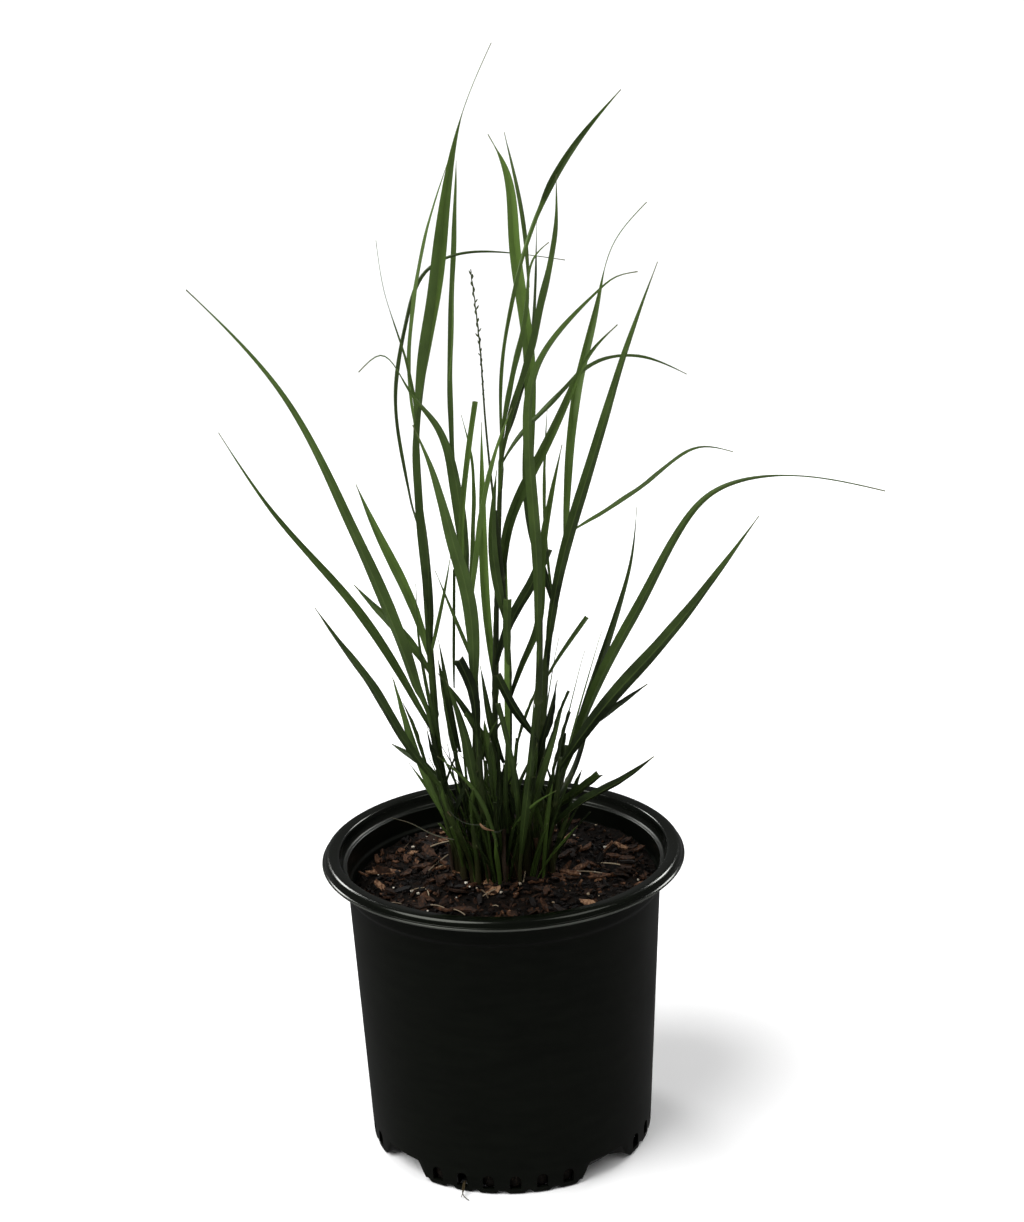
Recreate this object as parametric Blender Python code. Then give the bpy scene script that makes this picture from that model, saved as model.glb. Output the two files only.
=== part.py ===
"""Potted switchgrass: a young clump of grass in a black nursery pot.

Metres, +Z up. The origin is on the pot's axis, on the surface that the pot stands on, and -Y is the
front. Sizes below are in millimetres and are multiplied by MM where the shapes are made.
"""

import math
from collections import namedtuple

import bmesh
import bpy
import numpy as np
from mathutils import Matrix, Vector, noise

MM = 0.001
GAP = 0.4

# Pot: a thin moulded pot, 230 mm across its lip
POT_HEIGHT = 196.0
LIP_RADIUS = 115.0
MOUTH_RADIUS = 103.8
BAND_RADIUS = 101.2
BAND_FOOT = 174.0
WALL_TOP_RADIUS = 99.4
FOOT_RADIUS = 91.4
WALL = 2.0
FLOOR = 2.0
LIP_EDGE_DROP = 5.0
LEDGE_DROP = 9.0
BAND_STEP = 1.5
CORNER_HEIGHT = 17.0
CORNER_FLARE = 0.8
POT_STEPS = 60

# Foot of the pot: four lobes with drain slots, and four raised scallops between them
LOBE_ANGLES = (-4.5, 85.5, 175.5, 265.5)
SCALLOP_ANGLES = (40.5, 130.5, 220.5, 310.5)
SCALLOP_LIFT = 12.0
SCALLOP_FLAT = 6.0
SCALLOP_END = 14.0
FLAT_FLOOR_RADIUS = 78.0
SLOT_COUNT = 6
SLOT_PITCH = 10.6
SLOT_WIDTH = 7.0
SLOT_FOOT = 3.5
SLOT_TOP = 13.0
SLOT_CUT_DEPTH = 11.0
SHARP_ANGLE = 35.0

# Growing mix: level under the clump, lumpy towards the wall
CROWN_LEVEL = 177.0
EDGE_LEVEL = 171.0
EDGE_TILT = 4.0
CROWN_RADIUS = 46.0
LUMP = 1.6
LUMP_SPREAD = 14.0
SOIL_RINGS = (60.0, 74.0, 86.0)
SOIL_FOOT_RADIUS = 72.0
SOIL_STEPS = 36

# Stems and leaves
STEM_STEPS = 9
LEAF_THICKNESS = 0.7
LEAF_TIP_WIDTH = 0.9
LEAF_FOLD = 0.16
LEAF_STEP = 37.0
COLLAR_SHARE = 0.5
TIP_TAPER = 1.8
STEM_START = 6.0
FRONT = Vector((0.0, -1.0, 0.0))

# A stem: its radius at the foot and at the top, and the points that it passes through
Stem = namedtuple("Stem", "foot top route")

# A leaf blade: the stem that carries it, the height of its collar there, its greatest width and how
# far along that is, the turn of its face from the front at the collar and at the tip, whether it was
# cut off blunt, and the points that it passes through after the collar
Leaf = namedtuple("Leaf", "stem collar width broad turn cut route")

STEMS = {
    "stem_01": Stem(2.0, 1.2, [(-30, -2), (-35, -1, 217), (-40, 4, 295), (-43, 11, 395), (-44, 17, 452)]),
    "stem_02": Stem(2.0, 1.3, [(-25, -9), (-33, -13, 218), (-38, -17, 257), (-43, -22, 297)]),
    "stem_03": Stem(1.9, 1.2, [(-24, 11), (-34, 20, 220), (-39, 26, 252), (-43, 37, 312)]),
    "stem_04": Stem(1.8, 1.3, [(-19, -15), (-30, -24, 220), (-38, -31, 251)]),
    "stem_05": Stem(2.1, 1.3, [(-15, 3), (-16, 3, 225), (-14, 3, 300), (-17, 3, 380)]),
    "stem_06": Stem(2.0, 1.4, [(-9, -13), (-12, -23, 235), (-13, -34, 307), (-15, -40, 345)]),
    "stem_07": Stem(2.0, 1.2, [(0, -3), (4, -5, 240), (7, -9, 330), (2, -14, 417)]),
    "stem_08": Stem(1.9, 1.2, [(-8, 10), (-4, 14, 250), (0, 18, 330), (7, 25, 444)]),
    "stem_09": Stem(2.2, 1.6, [(15, -5), (18, -12, 230), (25, -20, 305), (27, -26, 352)]),
    "stem_10": Stem(2.2, 1.5, [(22, 9), (25, 12, 235), (31, 15, 313), (48, 22, 398)]),
    "stem_11": Stem(2.1, 1.5, [(27, 19), (33, 25, 210), (44, 34, 248)]),
    "stem_12": Stem(2.0, 1.4, [(26, -5), (31, -13, 218), (38, -22, 261)]),
    "stem_13": Stem(1.5, 1.0, [(20, 30), (43, 46, 218), (57, 60, 251)]),
}

LEAVES = {
    "leaf_01": Leaf("stem_01", 330, 9.5, 0.50, (0, 250), False,
                    [(-40, -15, 395), (-42, -30, 460), (-27, -52, 550), (-7, -80, 653), (9, -90, 687)]),
    "leaf_02": Leaf("stem_01", 449, 6.6, 0.50, (-45, -55), False,
                    [(-47, 33, 485), (-44, 48, 528), (-31, 70, 585), (-20, 80, 615)]),
    "leaf_03": Leaf("stem_05", 375, 7.0, 0.55, (50, 60), False,
                    [(-23, 35, 415), (-25, 60, 460), (-22, 95, 535), (-16, 130, 612)]),
    "leaf_04": Leaf("stem_01", 398, 6.0, 0.45, (62, 68), False,
                    [(-52, 30, 425), (-58, 55, 480), (-50, 75, 520), (-38, 89, 547), (-20, 98, 556),
                     (15, 112, 555), (52, 130, 547)]),
    "leaf_05": Leaf("stem_01", 448, 4.5, 0.40, (50, 62), False,
                    [(-45, 0, 497), (-50, -6, 520), (-57, -15, 548), (-60, -25, 580)]),
    "leaf_06": Leaf("stem_02", 294, 8.6, 0.55, (-25, 20), False,
                    [(-60, -33, 353), (-85, -45, 427), (-115, -60, 500), (-143, -70, 540),
                     (-162, -75, 562)]),
    "leaf_07": Leaf("stem_02", 282, 7.0, 0.50, (25, -20), False,
                    [(-60, -12, 317), (-88, -3, 361), (-131, 10, 412), (-164, 20, 463)]),
    "leaf_08": Leaf("stem_03", 308, 6.6, 0.45, (-20, 30), False,
                    [(-54, 55, 343), (-75, 75, 384), (-88, 90, 412)]),
    "leaf_09": Leaf("stem_03", 300, 6.2, 0.40, (20, -10), False,
                    [(-56, 46, 318), (-75, 60, 335), (-91, 70, 350)]),
    "leaf_10": Leaf("stem_04", 250, 5.8, 0.45, (15, -25), False,
                    [(-56, -50, 286), (-73, -68, 328), (-87, -84, 357), (-100, -100, 386)]),
    "leaf_11": Leaf("stem_04", 248, 4.8, 0.40, (-40, -50), False,
                    [(-52, -23, 272), (-57, -20, 288), (-64, -15, 315)]),
    "leaf_12": Leaf("stem_02", 246, 4.6, 0.40, (30, 0), False,
                    [(-51, -4, 256), (-60, 2, 260), (-68, 8, 263)]),
    "leaf_13": Leaf("stem_05", 372, 8.0, 0.40, (10, 40), False,
                    [(-21, -24, 441), (-29, -38, 474), (-45, -50, 500), (-59, -59, 520), (-71, -65, 512)]),
    "leaf_14": Leaf("stem_05", 340, 4.6, 0.50, (55, 60), False,
                    [(-12, 25, 408), (-12, 33, 440), (-17, 40, 465)]),
    "leaf_15": Leaf("stem_06", 338, 4.4, 0.60, (-30, 20), True,
                    [(-18, -43, 405), (-15, -45, 440), (-7, -48, 490)]),
    "leaf_16": Leaf("stem_06", 313, 8.4, 0.30, (-15, 35), False,
                    [(-15, -64, 380), (-22, -80, 417), (-32, -100, 466), (-40, -110, 490)]),
    "leaf_17": Leaf("stem_08", 299, 5.8, 0.40, (15, -15), False,
                    [(-6, 33, 348), (-6, 47, 403), (-5, 60, 456)]),
    "leaf_18": Leaf("stem_05", 338, 5.2, 0.45, (-50, -50), False,
                    [(-12, -17, 383), (-4, -35, 432), (5, -49, 465), (14, -60, 488)]),
    "leaf_19": Leaf("stem_07", 346, 6.0, 0.35, (15, -20), False,
                    [(3, -16, 368), (0, -20, 401), (4, -24, 444)]),
    "leaf_20": Leaf("stem_07", 359, 6.4, 0.35, (20, -20), False,
                    [(10, -8, 407), (29, -10, 447), (47, -12, 483), (62, -13, 511), (77, -14, 526)]),
    "leaf_21": Leaf("stem_08", 438, 6.2, 0.35, (105, 65), False,
                    [(22, 31, 456), (39, 34, 472), (56, 36, 489), (70, 37, 497), (97, 40, 497),
                     (122, 40, 486)]),
    "leaf_22": Leaf("stem_08", 442, 6.0, 0.65, (-20, 25), False,
                    [(7, 34, 477), (16, 44, 534), (31, 53, 580), (54, 61, 620), (86, 70, 655)]),
    "leaf_23": Leaf("stem_08", 441, 6.6, 0.55, (45, 50), False,
                    [(14, 13, 469), (25, 3, 502), (36, -10, 547), (42, -19, 576), (43, -30, 614)]),
    "leaf_24": Leaf("stem_10", 347, 8.6, 0.60, (-25, 10), False,
                    [(24, 33, 399), (25, 46, 453), (26, 58, 501), (19, 75, 567), (15, 84, 609),
                     (5, 90, 630)]),
    "leaf_25": Leaf("stem_08", 438, 4.8, 0.40, (60, 62), False,
                    [(18, 50, 471), (27, 69, 502), (31, 87, 534), (34, 110, 575)]),
    "leaf_26": Leaf("stem_08", 436, 5.0, 0.45, (-50, -55), False,
                    [(15, -14, 501), (24, -43, 546), (30, -63, 574), (37, -70, 581)]),
    "leaf_27": Leaf("stem_09", 333, 8.8, 0.35, (-20, 40), False,
                    [(26, -36, 392), (23, -49, 461), (28, -58, 508), (48, -66, 538), (64, -70, 554),
                     (73, -72, 561), (85, -75, 564)]),
    "leaf_28": Leaf("stem_08", 311, 6.4, 0.50, (20, -10), True,
                    [(10, 9, 342), (22, 5, 364), (33, 0, 389)]),
    "leaf_29": Leaf("stem_07", 296, 5.2, 0.50, (-30, 20), False,
                    [(15, -7, 316), (26, -9, 343), (29, -11, 383), (33, -13, 412), (43, -18, 457)]),
    "leaf_30": Leaf("stem_10", 318, 9.4, 0.40, (-15, 25), False,
                    [(41, 6, 375), (54, 2, 420), (67, -1, 461), (80, -5, 503), (101, -10, 561)]),
    "leaf_31": Leaf("stem_10", 394, 6.4, 0.30, (-80, -62), False,
                    [(72, 32, 404), (100, 42, 420), (132, 54, 437), (153, 60, 432)]),
    "leaf_32": Leaf("stem_10", 384, 6.0, 0.40, (0, 30), False,
                    [(49, 40, 439), (57, 58, 484), (70, 75, 528), (81, 88, 561), (103, 100, 585)]),
    "leaf_33": Leaf("stem_11", 232, 8.2, 0.40, (-25, 25), False,
                    [(59, 57, 273), (78, 80, 320), (90, 96, 355), (95, 110, 386)]),
    "leaf_34": Leaf("stem_11", 230, 8.2, 0.45, (20, -35), False,
                    [(64, 14, 299), (91, 0, 356), (113, -9, 401), (130, -15, 423), (171, -26, 436),
                     (230, -40, 428)]),
    "leaf_35": Leaf("stem_12", 256, 10.0, 0.40, (-20, 20), False,
                    [(67, -40, 304), (94, -55, 340), (120, -70, 378), (150, -90, 428)]),
    "leaf_36": Leaf("stem_12", 254, 5.4, 0.40, (25, 0), False,
                    [(53, -7, 274), (73, 4, 285), (94, 15, 295)]),
    "leaf_37": Leaf("stem_12", 212, 5.6, 0.40, (30, -10), False,
                    [(48, -30, 234), (72, -45, 254), (92, -60, 275)]),
    "leaf_38": Leaf("stem_10", 210, 5.2, 0.50, (-20, 10), True,
                    [(43, -8, 230), (61, -25, 251)]),
    "leaf_39": Leaf("stem_10", 298, 4.4, 0.50, (20, -20), True,
                    [(43, 32, 315), (58, 45, 331)]),
    "leaf_40": Leaf("stem_10", 256, 4.2, 0.40, (45, 50), False,
                    [(31, 21, 267), (35, 26, 282), (37, 30, 294)]),
    "leaf_41": Leaf("stem_06", 281, 6.4, 0.60, (-20, 10), True,
                    [(-15, -46, 316), (-22, -55, 338)]),
    "leaf_42": Leaf("stem_07", 318, 5.0, 0.50, (10, 0), True,
                    [(7, -16, 342), (8, -18, 363)]),
    "leaf_43": Leaf("stem_09", 274, 5.2, 0.50, (20, 0), True,
                    [(10, -26, 296), (0, -32, 320)]),
    "leaf_44": Leaf("stem_10", 352, 4.0, 0.50, (60, 60), False,
                    [(32, 32, 411), (36, 40, 467)]),
}

# The flowering stem top: a thin stalk, and small spikelets left and right along its end
SPIKE_ROUTE = [(2, -14, 418), (-2, -19, 481), (-3, -22, 512), (-7, -26, 562)]
SPIKE_STALK_RADIUS = 0.8
SPIKE_START = 0.38
SPIKELET_COUNT = 26
SPIKELET_RADIUS = 1.3
SPIKELET_OFFSET = 0.9
SPIKE_SIDES = 6

GREEN = (0.045, 0.095, 0.022)
STEM_GREEN = (0.04, 0.08, 0.02)
STRAW = (0.12, 0.13, 0.05)
SOIL_BROWN = (0.055, 0.026, 0.016)
POT_BLACK = (0.012, 0.013, 0.012)


def clear_scene():
    for item in list(bpy.data.objects):
        bpy.data.objects.remove(item, do_unlink=True)


def finish(item, colour, roughness):
    """Give an object its own Principled material."""
    material = bpy.data.materials.new(item.name)
    material.use_nodes = True
    shader = material.node_tree.nodes["Principled BSDF"]
    shader.inputs["Base Color"].default_value = (*colour, 1.0)
    shader.inputs["Roughness"].default_value = roughness
    shader.inputs["Metallic"].default_value = 0.0
    item.data.materials.append(material)


def add_mesh(name, bm, colour, roughness):
    """Scale a bmesh from millimetres to metres and make it a named object."""
    bmesh.ops.scale(bm, vec=(MM, MM, MM), verts=bm.verts)
    mesh = bpy.data.meshes.new(name)
    bm.to_mesh(mesh)
    bm.free()
    item = bpy.data.objects.new(name, mesh)
    bpy.context.collection.objects.link(item)
    finish(item, colour, roughness)
    return item


def smooth_curve(route, count):
    """Points at even steps along the natural cubic curve through a route, and the directions there."""
    points = np.array(route, float)
    lengths = np.linalg.norm(np.diff(points, axis=0), axis=1)
    knots = np.concatenate(([0.0], np.cumsum(lengths)))
    size = len(points)
    system = np.eye(size)
    right = np.zeros((size, 3))
    for i in range(1, size - 1):
        system[i, i - 1:i + 2] = (lengths[i - 1], 2.0 * (lengths[i - 1] + lengths[i]), lengths[i])
        right[i] = 6.0 * ((points[i + 1] - points[i]) / lengths[i]
                          - (points[i] - points[i - 1]) / lengths[i - 1])
    bends = np.linalg.solve(system, right)
    places = []
    directions = []
    for step in range(count + 1):
        t = knots[-1] * step / count
        i = min(int(np.searchsorted(knots, t, side="right")) - 1, size - 2)
        span = lengths[i]
        a = (knots[i + 1] - t) / span
        b = (t - knots[i]) / span
        place = (a * points[i] + b * points[i + 1]
                 + ((a ** 3 - a) * bends[i] + (b ** 3 - b) * bends[i + 1]) * span ** 2 / 6.0)
        slope = ((points[i + 1] - points[i]) / span
                 + ((1.0 - 3.0 * a ** 2) * bends[i] + (3.0 * b ** 2 - 1.0) * bends[i + 1]) * span / 6.0)
        places.append(Vector(place))
        directions.append(Vector(slope).normalized())
    return places, directions


def turned(profile, steps):
    """A closed turned solid; the profile runs from the axis, round the outside, to the axis again."""
    bm = bmesh.new()
    verts = [bm.verts.new((radius, 0.0, height)) for radius, height in profile]
    edges = [bm.edges.new(pair) for pair in zip(verts, verts[1:])]
    start = math.radians(SCALLOP_ANGLES[0] - 90.0)
    bmesh.ops.rotate(bm, verts=verts, cent=(0, 0, 0), matrix=Matrix.Rotation(start, 3, "Z"))
    bmesh.ops.spin(bm, geom=verts + edges, cent=(0, 0, 0), axis=(0, 0, 1), angle=math.tau,
                   steps=steps, use_merge=True)
    bmesh.ops.remove_doubles(bm, verts=bm.verts, dist=0.001)
    bmesh.ops.recalc_face_normals(bm, faces=bm.faces)
    return bm


def angle_from_front(x, y):
    """Degrees round the pot from its front, growing to the right."""
    return math.degrees(math.atan2(x, -y))


def scallop_share(angle):
    """How far the pot's foot is raised at an angle: 1 in the middle of a scallop, 0 on a lobe."""
    away = min(abs((angle - middle + 180.0) % 360.0 - 180.0) for middle in SCALLOP_ANGLES)
    return min(1.0, max(0.0, (SCALLOP_END - away) / (SCALLOP_END - SCALLOP_FLAT)))


def pot_profile():
    lip_foot = POT_HEIGHT - LIP_EDGE_DROP
    ledge = POT_HEIGHT - LEDGE_DROP
    step = BAND_FOOT - BAND_STEP
    outer = [(0, 0), (FLAT_FLOOR_RADIUS, 0), (FOOT_RADIUS - 0.6, 0), (FOOT_RADIUS, 1.2),
             (FOOT_RADIUS + CORNER_FLARE, CORNER_HEIGHT), (WALL_TOP_RADIUS, step),
             (BAND_RADIUS - 0.6, BAND_FOOT),
             (BAND_RADIUS, ledge), (LIP_RADIUS - 1.0, lip_foot - 0.6), (LIP_RADIUS, lip_foot + 1.4)]
    crest = [(LIP_RADIUS - 3.5, POT_HEIGHT - 1.0), (MOUTH_RADIUS + 2.0, POT_HEIGHT),
             (MOUTH_RADIUS, POT_HEIGHT - 0.9)]
    inner = [(BAND_RADIUS - WALL + 3.0, ledge + 0.8), (BAND_RADIUS - WALL + 0.3, ledge - 0.4),
             (BAND_RADIUS - WALL - 0.4, BAND_FOOT), (WALL_TOP_RADIUS - WALL, step - 0.6),
             (FOOT_RADIUS + CORNER_FLARE - WALL, CORNER_HEIGHT), (FOOT_RADIUS - WALL, FLOOR + 1.0),
             (FLAT_FLOOR_RADIUS - 1, FLOOR), (0, FLOOR)]
    return outer + crest + inner


def slot_cutter():
    """One closed island for each drain slot in the wall and in the floor, all in one mesh."""
    bm = bmesh.new()
    for lobe in LOBE_ANGLES:
        for index in range(SLOT_COUNT):
            angle = lobe + (index - (SLOT_COUNT - 1) / 2.0) * SLOT_PITCH
            add_arch(bm, angle)
            add_block(bm, angle, SLOT_WIDTH, FLAT_FLOOR_RADIUS + 2, FOOT_RADIUS - 5, -1, FLOOR + 1)
    bmesh.ops.recalc_face_normals(bm, faces=bm.faces)
    return bm


def turn_to(bm, verts, angle):
    """Turn parts modelled at the pot's front to their angle round it."""
    turn = Matrix.Rotation(math.radians(angle), 3, "Z")
    bmesh.ops.rotate(bm, verts=verts, cent=(0, 0, 0), matrix=turn)


def add_block(bm, angle, width, near, far, low, high):
    made = bmesh.ops.create_cube(bm, size=1.0)["verts"]
    bmesh.ops.scale(bm, vec=(width, far - near, high - low), verts=made)
    bmesh.ops.translate(bm, vec=(0, -(near + far) / 2.0, (low + high) / 2.0), verts=made)
    turn_to(bm, made, angle)


def add_arch(bm, angle):
    """A round-topped slot through the wall, above the foot bead."""
    half = SLOT_WIDTH / 2.0
    spring = SLOT_TOP - half
    near = FOOT_RADIUS - 7.0
    outline = [(-half, SLOT_FOOT), (half, SLOT_FOOT), (half, spring)]
    outline += [(half * math.cos(a), spring + half * math.sin(a))
                for a in (math.radians(60), math.radians(120))]
    outline.append((-half, spring))
    face = bm.faces.new([bm.verts.new((x, -near, z)) for x, z in outline])
    made = bmesh.ops.extrude_face_region(bm, geom=[face])["geom"]
    moved = [item for item in made if isinstance(item, bmesh.types.BMVert)]
    bmesh.ops.translate(bm, vec=(0, -SLOT_CUT_DEPTH, 0), verts=moved)
    turn_to(bm, moved + list(face.verts), angle)


def make_pot():
    bm = turned(pot_profile(), POT_STEPS)
    for vert in bm.verts:
        radius = math.hypot(vert.co.x, vert.co.y)
        if radius > FLAT_FLOOR_RADIUS + 1 and vert.co.z < 5:
            share = scallop_share(angle_from_front(vert.co.x, vert.co.y))
            vert.co.z += SCALLOP_LIFT * share
    pot = add_mesh("pot", bm, POT_BLACK, 0.35)
    cutter = add_mesh("slot_cutter", slot_cutter(), POT_BLACK, 0.5)
    cutter.hide_render = True
    cutter.display_type = "WIRE"
    cut = pot.modifiers.new("slots", "BOOLEAN")
    cut.operation = "DIFFERENCE"
    cut.solver = "EXACT"
    cut.object = cutter
    pot.data.shade_smooth()
    pot.data.set_sharp_from_angle(angle=math.radians(SHARP_ANGLE))
    return pot


def ground(x, y):
    """Height of the mix: level under the clump, lower, lumpy and a little tilted near the wall."""
    radius = math.hypot(x, y)
    share = min(1.0, max(0.0, (radius - CROWN_RADIUS) / (WALL_TOP_RADIUS - CROWN_RADIUS)))
    edge = EDGE_LEVEL + EDGE_TILT * (x + y) / WALL_TOP_RADIUS
    lumps = LUMP * noise.noise(Vector((x, y, 0.0)) / LUMP_SPREAD)
    return CROWN_LEVEL + share * (edge - CROWN_LEVEL + lumps)


def make_soil():
    rim = WALL_TOP_RADIUS - WALL - GAP
    foot = FOOT_RADIUS + CORNER_FLARE - WALL - GAP
    bottom = FLOOR + GAP
    side = [(0, bottom), (SOIL_FOOT_RADIUS, bottom), (foot - 0.3, CORNER_HEIGHT + 5.0),
            (rim - 0.6, EDGE_LEVEL - 8.0)]
    rings = [(radius, EDGE_LEVEL) for radius in (0.0, CROWN_RADIUS, *SOIL_RINGS, rim - 0.5)]
    bm = turned(side + rings[::-1], SOIL_STEPS)
    for vert in bm.verts:
        if vert.co.z > EDGE_LEVEL - 1.0:
            vert.co.z = ground(vert.co.x, vert.co.y)
    return add_mesh("potting_soil", bm, SOIL_BROWN, 0.95)


def stem_route(stem):
    """A stem's points, from just above the mix, where it starts upright."""
    x, y = stem.route[0]
    foot = CROWN_LEVEL + GAP
    return [(x, y, foot), (x, y, foot + STEM_START)] + stem.route[1:]


def stem_at(stem, height):
    """The point of a stem's middle line at a height, the stem's direction and its radius there."""
    places, directions = smooth_curve(stem_route(stem), STEM_STEPS)
    after = next((i for i, place in enumerate(places) if place.z >= height), STEM_STEPS)
    low, high = places[after - 1], places[after]
    part = min(1.0, (height - low.z) / (high.z - low.z))
    share = (after - 1 + part) / STEM_STEPS
    return low.lerp(high, part), directions[after], stem.foot + (stem.top - stem.foot) * share


def make_stem(name, stem):
    curve = bpy.data.curves.new(name, "CURVE")
    curve.dimensions = "3D"
    curve.bevel_depth = MM
    curve.bevel_resolution = 1
    curve.use_fill_caps = True
    spline = curve.splines.new("POLY")
    places = smooth_curve(stem_route(stem), STEM_STEPS)[0]
    spline.points.add(STEM_STEPS)
    for index, (target, place) in enumerate(zip(spline.points, places)):
        target.co = (*(place * MM), 1.0)
        target.radius = stem.foot + (stem.top - stem.foot) * index / STEM_STEPS
    item = bpy.data.objects.new(name, curve)
    bpy.context.collection.objects.link(item)
    finish(item, STEM_GREEN, 0.5)
    return item


def blade_share(s, broad, cut):
    """The blade's width at s along it, as a share of its greatest width."""
    if s < broad:
        return COLLAR_SHARE + (1.0 - COLLAR_SHARE) * math.sin(0.5 * math.pi * s / broad)
    if cut:
        return 1.0
    return 1.0 - ((s - broad) / (1.0 - broad)) ** TIP_TAPER


def face_normal(along, turn):
    """The way a blade's face looks: to the front, then turned about its own length."""
    level = (FRONT - along * FRONT.dot(along)).normalized()
    return Matrix.Rotation(math.radians(turn), 3, along) @ level


def leaf_curve(leaf):
    """The blade's middle line, starting flat against its stem."""
    foot, upward, radius = stem_at(STEMS[leaf.stem], leaf.collar)
    normal = face_normal(upward, leaf.turn[0])
    if normal.dot(Vector(leaf.route[0]) - foot) < 0:
        normal.negate()
    start = foot + normal * (radius + GAP + LEAF_THICKNESS + LEAF_FOLD * leaf.width)
    route = [tuple(start)] + leaf.route
    length = sum((Vector(b) - Vector(a)).length for a, b in zip(route, route[1:]))
    count = max(5, round(length / LEAF_STEP))
    return smooth_curve(route, count), count


def make_leaf(name, leaf, colour):
    (places, directions), count = leaf_curve(leaf)
    bm = bmesh.new()
    bmesh.ops.create_grid(bm, x_segments=2, y_segments=count, size=1.0)
    for vert in bm.verts:
        step = round((vert.co.y + 1.0) / 2.0 * count)
        s = step / count
        side = vert.co.x
        along = directions[step]
        normal = face_normal(along, leaf.turn[0] + (leaf.turn[1] - leaf.turn[0]) * s)
        across = along.cross(normal)
        width = max(LEAF_TIP_WIDTH, leaf.width * blade_share(s, leaf.broad, leaf.cut))
        keel = LEAF_FOLD * width * (1.0 - abs(side)) * (1.0 - 0.5 * s)
        vert.co = places[step] + across * (side * width / 2.0) - normal * keel
    bmesh.ops.triangulate(bm, faces=bm.faces[:])
    bmesh.ops.solidify(bm, geom=bm.faces[:], thickness=LEAF_THICKNESS)
    if bm.calc_volume(signed=True) < 0:
        bmesh.ops.reverse_faces(bm, faces=bm.faces[:])
    item = add_mesh(name, bm, colour, 0.45)
    item.data.shade_smooth()
    return item


def make_spike():
    """The stalk and its spikelets as one grown piece, swelling to the left and right in turn."""
    count = 4 + 2 * SPIKELET_COUNT
    places, directions = smooth_curve(SPIKE_ROUTE, count)
    bm = bmesh.new()
    ring = bmesh.ops.create_circle(bm, segments=SPIKE_SIDES, radius=1.0, cap_ends=True)["verts"]
    shape = [vert.co.copy() for vert in ring]
    first_spikelet = round(SPIKE_START * count)
    for step in range(count + 1):
        along = directions[step]
        sideways = FRONT.cross(along).normalized()
        facing = along.cross(sideways)
        radius = SPIKE_STALK_RADIUS
        centre = places[step]
        if step >= first_spikelet and step % 2:
            swing = 1.0 if step % 4 == 1 else -1.0
            fading = 1.0 - 0.6 * (step - first_spikelet) / (count - first_spikelet)
            radius = SPIKELET_RADIUS * fading
            centre = centre + sideways * (swing * SPIKELET_OFFSET * fading)
        if step:
            grown = bmesh.ops.extrude_edge_only(bm, edges=edges)["geom"]
            ring = [item for item in grown if isinstance(item, bmesh.types.BMVert)]
        edges = list({edge for vert in ring for edge in vert.link_edges
                      if edge.other_vert(vert) in ring})
        for vert, corner in zip(ring, shape):
            vert.co = centre + sideways * (corner.x * radius) + facing * (corner.y * radius)
    bmesh.ops.contextual_create(bm, geom=edges)
    bmesh.ops.recalc_face_normals(bm, faces=bm.faces)
    return add_mesh("flower_spike", bm, STRAW, 0.6)


def leaf_green(index):
    """Each leaf its own green, from dark to light."""
    light = 0.75 + 0.5 * ((index * 7) % 11) / 10.0
    return tuple(channel * light for channel in GREEN)


def main():
    clear_scene()
    make_pot()
    make_soil()
    for name, stem in STEMS.items():
        make_stem(name, stem)
    for index, (name, leaf) in enumerate(LEAVES.items()):
        make_leaf(name, leaf, leaf_green(index))
    make_spike()


main()
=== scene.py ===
"""Potted switchgrass: the looks of the grass, its growing mix and its nursery pot.

Sizes are in millimetres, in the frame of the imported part, and are multiplied by MM where a piece
is finished. The routes of the stems and the blades are those of the part's own source.
"""

import math
import random
from collections import namedtuple

import bmesh
import bpy
import numpy as np
from mathutils import Matrix, Vector, noise


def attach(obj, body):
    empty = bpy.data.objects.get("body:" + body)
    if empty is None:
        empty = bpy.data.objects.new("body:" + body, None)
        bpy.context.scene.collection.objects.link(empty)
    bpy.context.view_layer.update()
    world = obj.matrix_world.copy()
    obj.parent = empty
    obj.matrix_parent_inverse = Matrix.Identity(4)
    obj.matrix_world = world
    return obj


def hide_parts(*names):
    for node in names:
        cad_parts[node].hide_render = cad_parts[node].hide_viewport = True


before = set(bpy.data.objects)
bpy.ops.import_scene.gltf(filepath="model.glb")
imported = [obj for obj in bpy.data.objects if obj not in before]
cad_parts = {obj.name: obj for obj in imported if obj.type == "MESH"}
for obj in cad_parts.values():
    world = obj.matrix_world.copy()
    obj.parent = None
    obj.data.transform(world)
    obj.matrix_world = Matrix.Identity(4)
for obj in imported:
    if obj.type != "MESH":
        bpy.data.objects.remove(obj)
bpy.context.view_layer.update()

MM = 0.001

# The photograph's view
CAMERA_ELEVATION = 16.77
CAMERA_DISTANCE = 1226.0
CAMERA_ROLL = -1.84
CAMERA_TARGET = (10.4, 0.0, 350.0)
CAMERA_LENS = 58.9
SENSOR_HEIGHT = 36.0

# Stage, in metres, degrees and watts
FLOOR_REACH = 4.0
FLOOR_CURVE = 3.0
FLOOR_DROP = 0.0003
FLOOR_RISE = 85.0
FLOOR_RISE_STEPS = 12
FLOOR_STEPS = 96
FLOOR_COLOUR = (0.92, 0.92, 0.92, 1.0)
ROOM_LIGHT = 0.13
SUN_SPREAD = 45.0
SUN_POWER = 3.5
SUN_AIM = Vector((0.50, 0.29, -0.82))
PANEL_TARGET = Vector((0, 0, 0.2))
# Light panels: name, place, width and height, power
PANELS = [("side_right", (1.0, -0.6, 1.6), (0.9, 0.9), 8.0),
          ("back_left", (-1.0, 1.5, 1.35), (0.7, 0.35), 14.0),
          ("back_right", (1.1, 1.4, 1.4), (0.7, 0.35), 14.0)]

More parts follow.
